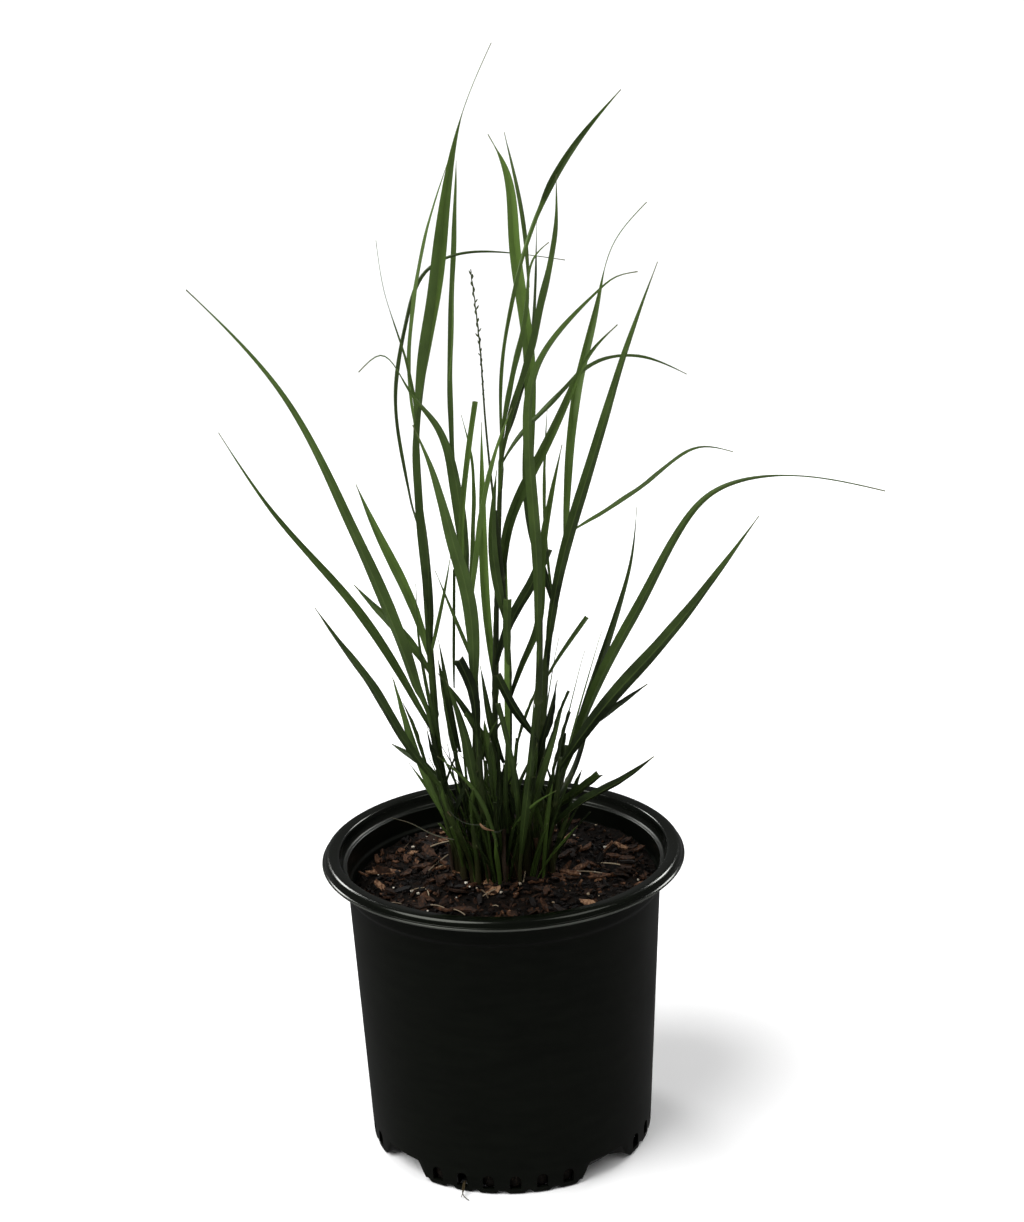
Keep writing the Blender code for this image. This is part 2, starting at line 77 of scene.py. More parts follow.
# Pot
POT_HEIGHT = 196.0
LIP_RADIUS = 115.0
MOUTH_RADIUS = 103.8
BAND_RADIUS = 101.2
BAND_FOOT = 174.0
WALL_TOP_RADIUS = 99.4
FOOT_RADIUS = 91.4
WALL = 2.0
FLOOR = 2.0
CORNER_HEIGHT = 17.0
CORNER_FLARE = 0.8
POT_STEPS = 288
LOBE_ANGLES = (-4.5, 85.5, 175.5, 265.5)
SCALLOP_ANGLES = (40.5, 130.5, 220.5, 310.5)
SCALLOP_LIFT = 12.0
SCALLOP_FLAT = 8.0
SCALLOP_END = 13.5
FLAT_FLOOR_RADIUS = 78.0
SLOT_COUNT = 6
SLOT_PITCH = 10.6
SLOT_WIDTH = 7.0
SLOT_FOOT = 3.5
SLOT_TOP = 13.0
SLOT_CUT_DEPTH = 11.0
SLOT_ARCH_STEPS = 7
LUG_HALF_WIDTH = 3.9
LUG_LIFT = 1.8
OPEN_SLOT = -20.4
SHARP_ANGLE = 35.0
WIDE_ROUNDING = 3.0
ROUNDING_STEPS = 4
WIDE_ROUNDING_STEPS = 9
RAISED_BAND = 5.0
LUG_BAND = 2.5
LUG_RING = FOOT_RADIUS - 4.0
SLOT_NEAR = FOOT_RADIUS - 7.0
TRENCH_NEAR = FLAT_FLOOR_RADIUS + 2.0
TRENCH_FAR = FOOT_RADIUS - 5.0
POT_START = SCALLOP_ANGLES[0] - 90.0

# Growing mix
CROWN_LEVEL = 177.0
EDGE_LEVEL = 171.0
EDGE_TILT = 4.0
CROWN_RADIUS = 46.0
LUMP = 1.6
LUMP_SPREAD = 14.0
SOIL_FOOT_RADIUS = 72.0
MIX_RINGS = 92
MIX_STEPS = 240
MIX_RIM = WALL_TOP_RADIUS - WALL - 0.4
MIX_SINK = 0.6
MIX_SHOULDER = (MIX_RIM - 0.6, EDGE_LEVEL - 8.0)
CRUMB_LUMPS = [(1.1, 7.0), (0.8, 3.2), (0.45, 1.5)]
CRUMB_LAYER = 3.0

# Stems
GAP = 0.4
SUNK = 3.0
STEM_START = 6.0
CAD_STEM_STEPS = 9
STEM_SIDES = 18
STEM_STEP = 2.5
FEWEST_STEM_STEPS = 24
SHOOT_FLARE = 0.8
SHOOT_FLARE_REACH = 90.0
FLARE_SPREAD = (0.5, 1.6)
FLATTEST_TURN = 40.0
FIRST_NODE = (22.0, 60.0)
NODE_SPACING = (55.0, 85.0)
CLEAR_TOP = 12.0
SHEATH_SWELL = 0.45
SHEATH_FADE = 70.0
SHEATH_OVERLAP = 0.22
NODE_SWELL = 0.4
NODE_REACH = 1.3
RING_REACH = 4.5
RING_HEIGHT = 1.6
RING_SHARE = 0.45
LOWEST_NODE = -30.0
STEM_INSET = 0.15
STEM_SEAM = 0.3
FLAT_SHARE = 0.15
STEM_TONE = (0.05, 0.8)
STEM_SEED = 3
STEM_SEED_STEP = 17
SHOOT_SEEDS_FROM = 40

# Blades
CAD_LEAF_THICKNESS = 0.7
LEAF_THICKNESS = 0.36
LEAF_TIP_WIDTH = 0.5
LEAF_FOLD = 0.16
COLLAR_SHARE = 0.5
TIP_TAPER = 1.8
FRONT = Vector((0.0, -1.0, 0.0))
BLADE_ACROSS = 8
BLADE_STEP = 4.0
FEWEST_BLADE_STEPS = 20
CLASP_LENGTH = 22.0
SHEATH_LENGTH = 16.0
SHEATH_STEP = 2.0
SHEATH_CURL = 2.7
COLLAR_CURL = 1.1
CLASP_CURL = 1.6
OPEN_CURL = 0.35
FLATTENING = 0.2
FLATTEST_CURL = 0.02
COLLAR_START = 0.7
HUG_GAP = 0.35
SHEATH_GAP = (0.05, 0.45)
FOLD_START = 6.0
BACK_FADE = 6.0
FOLD_DEPTH = 0.30
RIPPLE = 0.05
RIPPLE_PACE = 31.0
CUT_LENGTH = 0.955
MIDDLE_BROAD = 0.35
RIBBON_ACROSS = 4
RIBBON_STEP = 3.0
FEWEST_RIBBON_STEPS = 8

# Ranges of the random draws for the small growth
SHOOT_LEAN = (0.10, 0.28)
SHOOT_FOOT = (0.9, 1.4)
SHOOT_TOP = 0.7
SHOOT_LEAF_SWING = 50.0
SHOOT_LEAF_TWIST = 20.0
SHOOT_LEAF_REACH = (26.0, 54.0)
SHOOT_LEAF_BEND = (0.12, 0.45)
SHOOT_LEAF_WIDTH = (2.6, 4.8)
SHOOT_LEAF_BROAD = 0.55
SHOOT_LEAF_TONE = (-0.05, 0.35)
SHOOT_LEAF_CUT = 0.25
TANGLE_FACE = 70.0
TANGLE_TWIST = 50.0
TANGLE_WIDTH = (1.6, 4.0)
TANGLE_BROAD = 0.6
TANGLE_TONE = (-0.15, 0.65)
TANGLE_CURL = (0.4, 1.2)
TANGLE_CUT = 0.2
TANGLE_EARLY = 0.35
OLD_SHEATH_HEIGHT = (9.0, 30.0)
OLD_SHEATH_LEAN = (0.04, 0.22)
OLD_SHEATH_WIDTH = (3.0, 5.2)
OLD_SHEATH_TWIST = 25.0
OLD_SHEATH_CUT = 0.5
OLD_SHEATH_EARLY = 0.3

# Loose bits
THREAD_SIDES = 6
STRAW_STEPS = 6
ROOT_STEPS = 14
STRAW_COUNT = 18
CRUMB_COUNT = 34
PLUG_HALF_WIDTH = 5.0
PLUG_HALF_HEIGHT = 7.4
PLUG_MIDDLE = 8.6
PLUG_DEPTH = (2.2, 3.6)
PLUG_INSET = 0.6
PLUG_TONE = (-0.05, 0.08)
ROOT_RADII = (0.42, 0.22)
ROOT_ASIDE = Vector((1.0, 0.2, 0.0))
ROOT_TONE = 0.6
CHIP_BOW = (-0.5, 0.9)
CHIP_POINT = (0.1, 0.75)
CHIP_TEAR = (0.2, 0.22, 0.3)
CHIP_THICKNESS = 1.0
BIG_CHIP_SHAPES = (20, 3, 4)
SMALL_CHIP_SHAPES = (16, 2, 3)
LIGHTEST_BARK = 0.95
MARKED_CHIP_SIZE = (1.1, 0.44)
MARKED_CHIP_LIFT = 2.0
MARKED_CRUMB_SIZE = 1.2
CRUMB_SIZE = (0.4, 1.0)
CRUMB_LIFT = 1.2
STRAW_HALF_LENGTH = (2.0, 7.0)
STRAW_RISE = 0.8
STRAW_LIFT = 2.2
STRAW_RADIUS = 0.3
MARKED_STRAW_RADIUS = 0.45
STRAW_BEND = Vector((0.3, 0.2, 0.5))
THREAD_SEAM = 0.05

Stem = namedtuple("Stem", "foot top route")
Leaf = namedtuple("Leaf", "stem collar width broad turn route cut", defaults=[False])

# Radius of each stem at its foot and its top, and its route, in the order of the nodes
STEM_ROWS = [
    (2.0, 1.2, [(-30, -2), (-35, -1, 217), (-40, 4, 295), (-43, 11, 395), (-44, 17, 452)]),
    (2.0, 1.3, [(-25, -9), (-33, -13, 218), (-38, -17, 257), (-43, -22, 297)]),
    (1.9, 1.2, [(-24, 11), (-34, 20, 220), (-39, 26, 252), (-43, 37, 312)]),
    (1.8, 1.3, [(-19, -15), (-30, -24, 220), (-38, -31, 251)]),
    (2.1, 1.3, [(-15, 3), (-16, 3, 225), (-14, 3, 300), (-17, 3, 380)]),
    (2.0, 1.4, [(-9, -13), (-12, -23, 235), (-13, -34, 307), (-15, -40, 345)]),
    (2.0, 1.2, [(0, -3), (4, -5, 240), (7, -9, 330), (2, -14, 417)]),
    (1.9, 1.2, [(-8, 10), (-4, 14, 250), (0, 18, 330), (7, 25, 444)]),
    (2.2, 1.6, [(15, -5), (18, -12, 230), (25, -20, 305), (27, -26, 352)]),
    (2.2, 1.5, [(22, 9), (25, 12, 235), (31, 15, 313), (48, 22, 398)]),
    (2.1, 1.5, [(27, 19), (33, 25, 210), (44, 34, 248)]),
    (2.0, 1.4, [(26, -5), (31, -13, 218), (38, -22, 261)]),
    (1.5, 1.0, [(20, 30), (43, 46, 218), (57, 60, 251)]),
]
STEMS = {f"stem_{number:02d}": Stem(*row) for number, row in enumerate(STEM_ROWS, 1)}

# Each blade's stem, the height of its collar, its width, where it is widest, how its face turns
# from the collar to the tip, its route past the collar, and whether it is cut off
LEAF_ROWS = [
    (1, 330, 9.5, 0.5, (0, 250), [(-40, -15, 395), (-42, -30, 460), (-27, -52, 550),
     (-7, -80, 653), (9, -90, 687)]),
    (1, 449, 6.6, 0.5, (-45, -55), [(-47, 33, 485), (-44, 48, 528), (-31, 70, 585),
     (-20, 80, 615)]),
    (5, 375, 7.0, 0.55, (50, 60), [(-23, 35, 415), (-25, 60, 460), (-22, 95, 535),
     (-16, 130, 612)]),
    (1, 398, 6.0, 0.45, (62, 68), [(-52, 30, 425), (-58, 55, 480), (-50, 75, 520), (-38, 89, 547),
     (-20, 98, 556), (15, 112, 555), (52, 130, 547)]),
    (1, 448, 4.5, 0.4, (50, 62), [(-45, 0, 497), (-50, -6, 520), (-57, -15, 548),
     (-60, -25, 580)]),
    (2, 294, 8.6, 0.55, (-25, 20), [(-60, -33, 353), (-85, -45, 427), (-115, -60, 500),
     (-143, -70, 540), (-162, -75, 562)]),
    (2, 282, 7.0, 0.5, (25, -20), [(-60, -12, 317), (-88, -3, 361), (-131, 10, 412),
     (-164, 20, 463)]),
    (3, 308, 6.6, 0.45, (-20, 30), [(-54, 55, 343), (-75, 75, 384), (-88, 90, 412)]),
    (3, 300, 6.2, 0.4, (20, -10), [(-56, 46, 318), (-75, 60, 335), (-91, 70, 350)]),
    (4, 250, 5.8, 0.45, (15, -25), [(-56, -50, 286), (-73, -68, 328), (-87, -84, 357),
     (-100, -100, 386)]),
    (4, 248, 4.8, 0.4, (-40, -50), [(-52, -23, 272), (-57, -20, 288), (-64, -15, 315)]),
    (2, 246, 4.6, 0.4, (30, 0), [(-51, -4, 256), (-60, 2, 260), (-68, 8, 263)]),
    (5, 372, 8.0, 0.4, (10, 40), [(-21, -24, 441), (-29, -38, 474), (-45, -50, 500),
     (-59, -59, 520), (-71, -65, 512)]),
    (5, 340, 4.6, 0.5, (55, 60), [(-12, 25, 408), (-12, 33, 440), (-17, 40, 465)]),
    (6, 338, 4.4, 0.6, (-30, 20), [(-18, -43, 405), (-15, -45, 440), (-7, -48, 490)], True),
    (6, 313, 8.4, 0.3, (-15, 35), [(-15, -64, 380), (-22, -80, 417), (-32, -100, 466),
     (-40, -110, 490)]),
    (8, 299, 5.8, 0.4, (15, -15), [(-6, 33, 348), (-6, 47, 403), (-5, 60, 456)]),
    (5, 338, 5.2, 0.45, (-50, -50), [(-12, -17, 383), (-4, -35, 432), (5, -49, 465),
     (14, -60, 488)]),
    (7, 346, 6.0, 0.35, (15, -20), [(3, -16, 368), (0, -20, 401), (4, -24, 444)]),
    (7, 359, 6.4, 0.35, (20, -20), [(10, -8, 407), (29, -10, 447), (47, -12, 483), (62, -13, 511),
     (77, -14, 526)]),
    (8, 438, 6.2, 0.35, (105, 65), [(22, 31, 456), (39, 34, 472), (56, 36, 489), (70, 37, 497),
     (97, 40, 497), (122, 40, 486)]),
    (8, 442, 6.0, 0.65, (-20, 25), [(7, 34, 477), (16, 44, 534), (31, 53, 580), (54, 61, 620),
     (86, 70, 655)]),
    (8, 441, 6.6, 0.55, (45, 50), [(14, 13, 469), (25, 3, 502), (36, -10, 547), (42, -19, 576),
     (43, -30, 614)]),
    (10, 347, 8.6, 0.6, (-25, 10), [(24, 33, 399), (25, 46, 453), (26, 58, 501), (19, 75, 567),
     (15, 84, 609), (5, 90, 630)]),
    (8, 438, 4.8, 0.4, (60, 62), [(18, 50, 471), (27, 69, 502), (31, 87, 534), (34, 110, 575)]),
    (8, 436, 5.0, 0.45, (-50, -55), [(15, -14, 501), (24, -43, 546), (30, -63, 574),
     (37, -70, 581)]),
    (9, 333, 8.8, 0.35, (-20, 40), [(26, -36, 392), (23, -49, 461), (28, -58, 508),
     (48, -66, 538), (64, -70, 554), (73, -72, 561), (85, -75, 564)]),
    (8, 311, 6.4, 0.5, (20, -10), [(10, 9, 342), (22, 5, 364), (33, 0, 389)], True),
    (7, 296, 5.2, 0.5, (-30, 20), [(15, -7, 316), (26, -9, 343), (29, -11, 383), (33, -13, 412),
     (43, -18, 457)]),
    (10, 318, 9.4, 0.4, (-15, 25), [(41, 6, 375), (54, 2, 420), (67, -1, 461), (80, -5, 503),
     (101, -10, 561)]),
    (10, 394, 6.4, 0.3, (-80, -62), [(72, 32, 404), (100, 42, 420), (132, 54, 437),
     (153, 60, 432)]),
    (10, 384, 6.0, 0.4, (0, 30), [(49, 40, 439), (57, 58, 484), (70, 75, 528), (81, 88, 561),
     (103, 100, 585)]),
    (11, 232, 8.2, 0.4, (-25, 25), [(59, 57, 273), (78, 80, 320), (90, 96, 355), (95, 110, 386)]),
    (11, 230, 8.2, 0.45, (20, -35), [(64, 14, 299), (91, 0, 356), (113, -9, 401), (130, -15, 423),
     (171, -26, 436), (230, -40, 428)]),
    (12, 256, 10.0, 0.4, (-20, 20), [(67, -40, 304), (94, -55, 340), (120, -70, 378),
     (150, -90, 428)]),
    (12, 254, 5.4, 0.4, (25, 0), [(53, -7, 274), (73, 4, 285), (94, 15, 295)]),
    (12, 212, 5.6, 0.4, (30, -10), [(48, -30, 234), (72, -45, 254), (92, -60, 275)]),
    (10, 210, 5.2, 0.5, (-20, 10), [(43, -8, 230), (61, -25, 251)], True),
    (10, 298, 4.4, 0.5, (20, -20), [(43, 32, 315), (58, 45, 331)], True),
    (10, 256, 4.2, 0.4, (45, 50), [(31, 21, 267), (35, 26, 282), (37, 30, 294)]),
    (6, 281, 6.4, 0.6, (-20, 10), [(-15, -46, 316), (-22, -55, 338)], True),
    (7, 318, 5.0, 0.5, (10, 0), [(7, -16, 342), (8, -18, 363)], True),
    (9, 274, 5.2, 0.5, (20, 0), [(10, -26, 296), (0, -32, 320)], True),
    (10, 352, 4.0, 0.5, (60, 60), [(32, 32, 411), (36, 40, 467)]),
]
LEAVES = {f"leaf_{number:02d}": Leaf(*row) for number, row in enumerate(LEAF_ROWS, 1)}

# How light each blade's green is, low and high on the blade, in the order of the blades: partly the
# blade's own green and partly painted light and shade, as each blade lies in light or in shadow.
# They are chosen in steps of a tenth, after a look at colours sampled along the photograph's blades
BLADE_TONES_WITH_PAINTED_LIGHT = [
    (0.1, 0.5), (0.4, 0.6), (0.2, 0.7), (0.2, 0.0), (0.3, 0.3), (0.3, 0.5), (0.2, 0.3), (0.5, 0.6),
    (0.3, 0.3), (0.2, 0.2), (0.5, 0.5), (0.1, 0.1), (0.2, 0.4), (0.7, 0.8), (0.4, 0.6), (0.3, 0.5),
    (0.8, 1.0), (0.6, 0.8), (0.2, 0.2), (0.1, 0.3), (0.3, 0.3), (0.5, 0.5), (0.2, 0.3),
    (-0.1, 0.9), (0.1, 0.1), (0.3, 0.4), (0.2, 0.4), (0.0, 0.1), (0.1, 0.4), (0.0, 0.3),
    (0.4, 0.3), (0.5, 0.5), (0.0, 0.2), (0.3, 0.2), (-0.1, 0.3), (0.0, 0.0), (0.0, 0.0),
    (0.2, 0.2), (0.3, 0.3), (0.0, 0.0), (0.0, 0.0), (0.3, 0.3), (0.0, 0.1), (0.6, 0.6),
]

# Blades that look finer than their solid: share of its width, where the blade is widest, where it
# has narrowed to a thread, and how late it tapers to there
FINER = {f"leaf_{number:02d}": shape for number, *shape in [
    (1, 1.05, 0.45, 0.9, 2.4), (2, 0.6, 0.5, 1.0, 1.6), (3, 0.85, 0.65, 1.0, 3.5),
    (4, 0.75, 0.5, 0.9, 2.0), (5, 0.7, 0.3, 0.75, 1.2), (6, 1.0, 0.25, 1.0, 0.9),
    (7, 0.8, 0.35, 1.0, 1.2), (13, 1.0, 0.3, 0.85, 1.1), (15, 0.75, 0.6, 1.0, 2.0),
    (22, 0.8, 0.7, 1.0, 1.6), (24, 0.85, 0.4, 0.97, 8.0), (27, 0.75, 0.35, 1.0, 1.6),
    (30, 0.75, 0.35, 1.0, 1.7), (31, 0.7, 0.3, 0.95, 2.0), (32, 1.0, 0.4, 0.78, 2.5),
    (33, 0.75, 0.3, 1.0, 1.2), (34, 0.85, 0.3, 0.85, 1.5), (35, 0.85, 0.35, 1.0, 1.6),
    (39, 0.65, 0.9, 1.0, 2.0),
]}

# Blades seen by their edge low down: where each turns its face, and how much painted shade darkens
# the stretch where it shows its back
EDGE_ON = {"leaf_22": (0.60, 0.5)}
EDGE_TURN = 62.0
EDGE_LENGTH = 0.12

# Flower spike: its stalk's route, and the share of it that is bare
SPIKE_ROUTE = [(2, -14, 418), (-2, -19, 481), (-3, -22, 512), (-7, -26, 562)]
SPIKE_STEPS = 90
SPIKE_START = 0.46
SPIKELET_COUNT = 26
SPIKELET_SIZE = (0.5, 0.65)
SPIKELET_GROWTH = 0.3
SPIKELET_TAPER = 0.45
SPIKELET_STRETCH = (0.8, 0.6, 1.9)
SPIKELET_FOOT = 1.4
SPIKELET_TONE = (0.35, 1.0)
SPIKELET_ANGLES = (0.03, 0.16)
SPREAD_SPIKELETS = 0.14
SPREAD_ANGLE = 0.55
STALK_SIDES = 8
STALK_RADII = (0.8, 0.3)
STALK_SWAY = 0.15
STALK_TONE = 0.4
STALK_SEAM = 0.12

# Places on the mix and heights of the short shoots between the stems
SIDE_SHOOTS = [
    (-25, -15, 62), (-14, -7, 88), (-4, -10, 78), (7, -10, 70), (10, 3, 90), (-9, 1, 70),
    (20, -11, 50), (29, 5, 55), (15, 14, 74), (-20, 3, 92), (3, 6, 84), (10, -17, 52),
    (-16, -19, 48), (-29, 6, 70), (-3, -17, 60), (22, -1, 65), (-7, 16, 66), (31, -8, 45),
]
SHOOTS_MIDDLE = Vector((-2.0, 0.0, 0.0))

# The tangle of thin leaves at the foot of the clump
TANGLE_COUNT = 100
CLUMP_MIDDLE = (-1.0, -1.0)
CLUMP_REACH = (31.0, 21.0)
OUTWARD_LEAN = (0.006, 0.007)
RANDOM_LEAN = (0.26, 0.14)
DEAD_HEIGHT = (18.0, 50.0)
GREEN_HEIGHT = (28.0, 88.0)

# Small leaves that the photograph shows: route, width, tone, turn of the face, whether it is cut
SMALL_LEAVES = [
    ([(-4, -25, 205), (-18, -25, 245), (-38, -30, 268)], 3.0, 0.4, (30, 10)),
    ([(6, -20, 215), (20, -30, 235), (34, -35, 245)], 2.0, 0.6, (20, -10)),
    ([(12, -15, 205), (12, -16, 232), (7, -20, 262)], 3.6, 0.1, (-20, 10)),
    ([(0, -15, 210), (-1, -17, 245), (-1, -20, 278)], 3.4, 0.1, (-15, 20)),
    ([(3, -15, 210), (3, -20, 245), (6, -25, 280)], 3.2, 0.2, (15, -15)),
    ([(36, -5, 205), (33, -12, 235), (27, -16, 260)], 3.0, 0.1, (30, 0)),
    ([(-33, -12, 245), (-39, -20, 295), (-46, -28, 360), (-46, -30, 378)], 3.4, 0.2, (-30, -50)),
    ([(-36, -4, 250), (-41, -5, 320), (-44, -5, 385)], 4.0, 0.2, (-20, 30)),
    ([(30, 25, 200), (42, 35, 245), (68, 60, 317)], 2.4, 0.5, (40, 60)),
    ([(28, 18, 200), (36, 25, 245), (56, 42, 310)], 2.4, 0.3, (50, 70)),
    ([(20, 8, 200), (28, 15, 275), (39, 22, 325)], 2.2, 0.3, (60, 60)),
    ([(6, -8, 240), (6, -8, 305), (8, 0, 400)], 3.6, 0.9, (-20, 20)),
    ([(10, -22, 215), (7, -28, 262), (0, -34, 304)], 3.4, 0.2, (20, 0), True),
    ([(-4, -18, 235), (-8, -24, 276), (-21, -28, 295)], 3.0, 0.3, (-10, 20), True),
    ([(-18, -20, 240), (-8, -25, 275), (2, -30, 294)], 2.8, 0.3, (10, -20)),
    ([(-41, 3, 320), (-34, 5, 350), (-26, 10, 385)], 2.6, 0.5, (-10, 30)),
    ([(-13, 0, 312), (-22, -6, 342), (-35, -10, 380)], 2.6, 0.4, (20, -20)),
    ([(-27, 10, 298), (-26, 12, 335), (-25, 15, 374)], 2.0, 0.1, (-20, 20), True),
    ([(12, -23, 200), (18, -27, 255), (22, -31, 305)], 5.5, 0.2, (-15, 15)),
    ([(-24, -6, 262), (-30, -10, 295), (-35, -15, 338)], 4.2, 0.1, (-20, 30)),
    ([(3, -8, 255), (-5, -14, 288), (-10, -20, 322)], 4.8, 0.1, (-25, 10)),
    ([(2, -8, 235), (-14, -18, 282), (-36, -25, 320)], 6.0, 0.1, (-10, 20)),
    ([(-12, -20, 232), (-20, -23, 275), (-31, -28, 316)], 6.5, 0.2, (-20, 20)),
    ([(-20, -16, 230), (-12, -13, 260), (8, -10, 290)], 3.6, 0.0, (10, -20)),
    ([(14, -6, 215), (26, -10, 265), (37, -15, 310)], 5.0, 0.0, (-30, 10)),
    ([(17, -13, 215), (28, -19, 258), (39, -25, 294)], 5.0, 0.3, (-20, 20)),
    ([(-36, -22, 228), (-50, -20, 265), (-63, -20, 315)], 4.4, 0.5, (-20, 20)),
    ([(-25, 60, 483), (-22, 75, 520), (-20, 85, 541)], 2.2, 0.7, (70, 80)),
    ([(26, 55, 540), (22, 70, 590), (15, 85, 631)], 3.4, 0.1, (40, 20)),
]

# Dead strands: one hooks out over the mix, one lies across the clump with a husk at its end
DEAD_STRANDS = [
    ([(-30, -25, 210), (-45, -13, 209), (-58, -2, 212), (-71, 9, 212)], 1.2, 0.1, (80, 100)),
    ([(-32, -29, 232), (-24, -31, 226), (-10, -31, 222)], 1.6, 0.0, (60, 80)),
    ([(-36, -25, 236), (-34, -27, 232), (-31, -29, 228)], 1.3, 0.3, (0, 20)),
    ([(-13, -37, 226), (-9, -39, 224), (-5, -40, 222)], 2.3, 0.8, (20, 40)),
    ([(-5, -40, 222), (-2, -40, 222), (0, -40, 223)], 1.2, 0.0, (20, 40)),
]

# Chips, crumbs and straws that stand out in the photograph. A chip is its place, its heading, half
# its length and its tone
MARKED_CHIPS = [
    (-78, 14, -5, 9.0, 0.9), (-68, 46, 60, 5.5, 0.7), (-40, 6, 20, 4.0, 0.85),
    (-56, 22, 80, 5.0, 0.8), (-52, 12, 15, 6.0, 0.6), (-40, -10, 25, 7.5, 0.6),
    (12, -6, 30, 6.5, 0.6), (42, -8, -25, 6.0, 0.8), (26, -34, 80, 5.5, 0.6),
    (60, -12, 10, 6.0, 0.7), (-52, 58, 30, 6.0, 0.65), (38, 48, 80, 7.0, 0.9),
    (70, 20, -20, 5.0, 0.7), (4, -62, -60, 5.0, 0.6), (-26, -52, -10, 6.0, 0.6),
    (-22, -24, 40, 4.5, 0.6), (-8, -28, -30, 4.0, 0.7), (6, -26, 60, 4.5, 0.6),
    (20, -20, 10, 4.0, 0.7), (32, -10, -40, 4.5, 0.6),
]
MARKED_CRUMBS = [
    (-60, 48), (-20, 6), (-22, -6), (-58, -24), (-54, -28), (-2, -36), (30, -50), (52, -38),
    (66, 30), (-30, 46), (10, -24), (-24, -20),
]
MARKED_STRAWS = [
    ((14, -2, 180), (12, -18, 177)), ((-48, 2, 178), (-36, 22, 180)),
    ((-48, 38, 179), (-34, 42, 181)), ((-14, -30, 178), (-10, -40, 177)),
    ((46, -6, 178), (66, -8, 176)), ((60, 8, 177), (78, 4, 176)),
]

# Roots that come out of a drain slot: the way of each from inside the pot
ROOT_THREADS = [
    [(-31, -84, 5.2), (-31.5, -88, 4.6), (-31.8, -91.5, 3.6), (-31.4, -93.2, 2.0),
     (-29.8, -95, 0.8), (-27.8, -97, 0.5)],
    [(-30, -84, 5.6), (-30.6, -88, 4.8), (-31.2, -91.5, 3.4), (-32.2, -93, 1.4),
     (-32.6, -93.5, 0.5)],
]


# Shared work

def clamped(value, low=0.0, high=1.0):
    return min(high, max(low, value))


def smooth_step(value):
    value = clamped(value)
    return value * value * (3.0 - 2.0 * value)


def between(ends, share):
    """The value at a share of the way from the first of two ends to the second."""
    return ends[0] + (ends[1] - ends[0]) * share


def heading(angle):
    """The level direction at an angle in degrees from the front, growing to the right."""
    turn = math.radians(angle)
    return Vector((math.sin(turn), -math.cos(turn), 0.0))


def new_object(name, data):
    made = bpy.data.objects.new(name, data)
    bpy.context.scene.collection.objects.link(made)
    return made


def new_mesh(name, bm):
    """Turn a bmesh into a mesh, and free it."""
    mesh = bpy.data.meshes.new(name)
    bm.to_mesh(mesh)
    bm.free()
    return mesh


def start_mesh():
    """An empty bmesh with a UV map and a tone for each corner point."""
    bm = bmesh.new()
    bm.loops.layers.uv.new("UVMap")
    bm.verts.layers.float.new("tone")
    return bm


def set_tone(bm, verts, value):
    layer = bm.verts.layers.float["tone"]
    for vert in verts:
        vert[layer] = value


def turn_to(bm, verts, angle):
    """Turn points about the pot's axis."""
    bmesh.ops.rotate(bm, verts=verts, cent=(0, 0, 0),
                     matrix=Matrix.Rotation(math.radians(angle), 3, "Z"))


def spun(outline, steps, start=0.0):
    """A turned shape, from an outline that starts on the axis and lies at the start angle."""
    bm = start_mesh()
    verts = [bm.verts.new((radius, 0.0, height)) for radius, height in outline]
    edges = [bm.edges.new(pair) for pair in zip(verts, verts[1:])]
    turn_to(bm, verts, start)
    bmesh.ops.spin(bm, geom=verts + edges, cent=(0, 0, 0), axis=(0, 0, 1), angle=math.tau,
                   steps=steps, use_merge=True)
    bmesh.ops.remove_doubles(bm, verts=bm.verts, dist=0.001)
    bmesh.ops.recalc_face_normals(bm, faces=bm.faces)
    return bm


def thicken(bm, thickness=LEAF_THICKNESS):
    """Give open faces a thickness, with the faces outwards."""
    bmesh.ops.solidify(bm, geom=bm.faces[:], thickness=thickness)
    if bm.calc_volume(signed=True) < 0:
        bmesh.ops.reverse_faces(bm, faces=bm.faces[:])


def add_piece(name, bm, material, replaced=(), smooth=True):
    """Scale a bmesh from millimetres to metres and make it a piece that rides on the part."""
    bmesh.ops.scale(bm, vec=(MM, MM, MM), verts=bm.verts)
    mesh = new_mesh(name, bm)
    mesh.materials.append(material)
    if smooth:
        mesh.shade_smooth()
        mesh.set_sharp_from_angle(angle=math.radians(SHARP_ANGLE))
    piece = new_object(name, mesh)
    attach(piece, "root")
    if replaced:
        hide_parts(*replaced)


def add_leaves(name, bm, material, replaced=()):
    """Thicken open leaves and make them a piece."""
    thicken(bm)
    add_piece(name, bm, material, replaced)


def smooth_curve(route, count):
    """Points at even steps along the natural cubic curve through a route, with their directions."""
    points = np.array(route, float)
    lengths = np.linalg.norm(np.diff(points, axis=0), axis=1)
    knots = np.concatenate(([0.0], np.cumsum(lengths)))
    size = len(points)
    system = np.eye(size)
    right = np.zeros((size, 3))
    for i in range(1, size - 1):
        system[i, i - 1:i + 2] = (lengths[i - 1], 2.0 * (lengths[i - 1] + lengths[i]), lengths[i])
        right[i] = 6.0 * ((points[i + 1] - points[i]) / lengths[i]
                          - (points[i] - points[i - 1]) / lengths[i - 1])
    bends = np.linalg.solve(system, right)
    places = []
    directions = []
    for step in range(count + 1):
        t = knots[-1] * step / count
        i = min(int(np.searchsorted(knots, t, side="right")) - 1, size - 2)
        span = lengths[i]
        a = (knots[i + 1] - t) / span
        b = (t - knots[i]) / span
        place = (a * points[i] + b * points[i + 1]
                 + ((a ** 3 - a) * bends[i] + (b ** 3 - b) * bends[i + 1]) * span ** 2 / 6.0)
        bend = (1.0 - 3.0 * a ** 2) * bends[i] + (3.0 * b ** 2 - 1.0) * bends[i + 1]
        slope = (points[i + 1] - points[i]) / span + bend * span / 6.0
        places.append(Vector(place))
        directions.append(Vector(slope).normalized())
    return places, directions


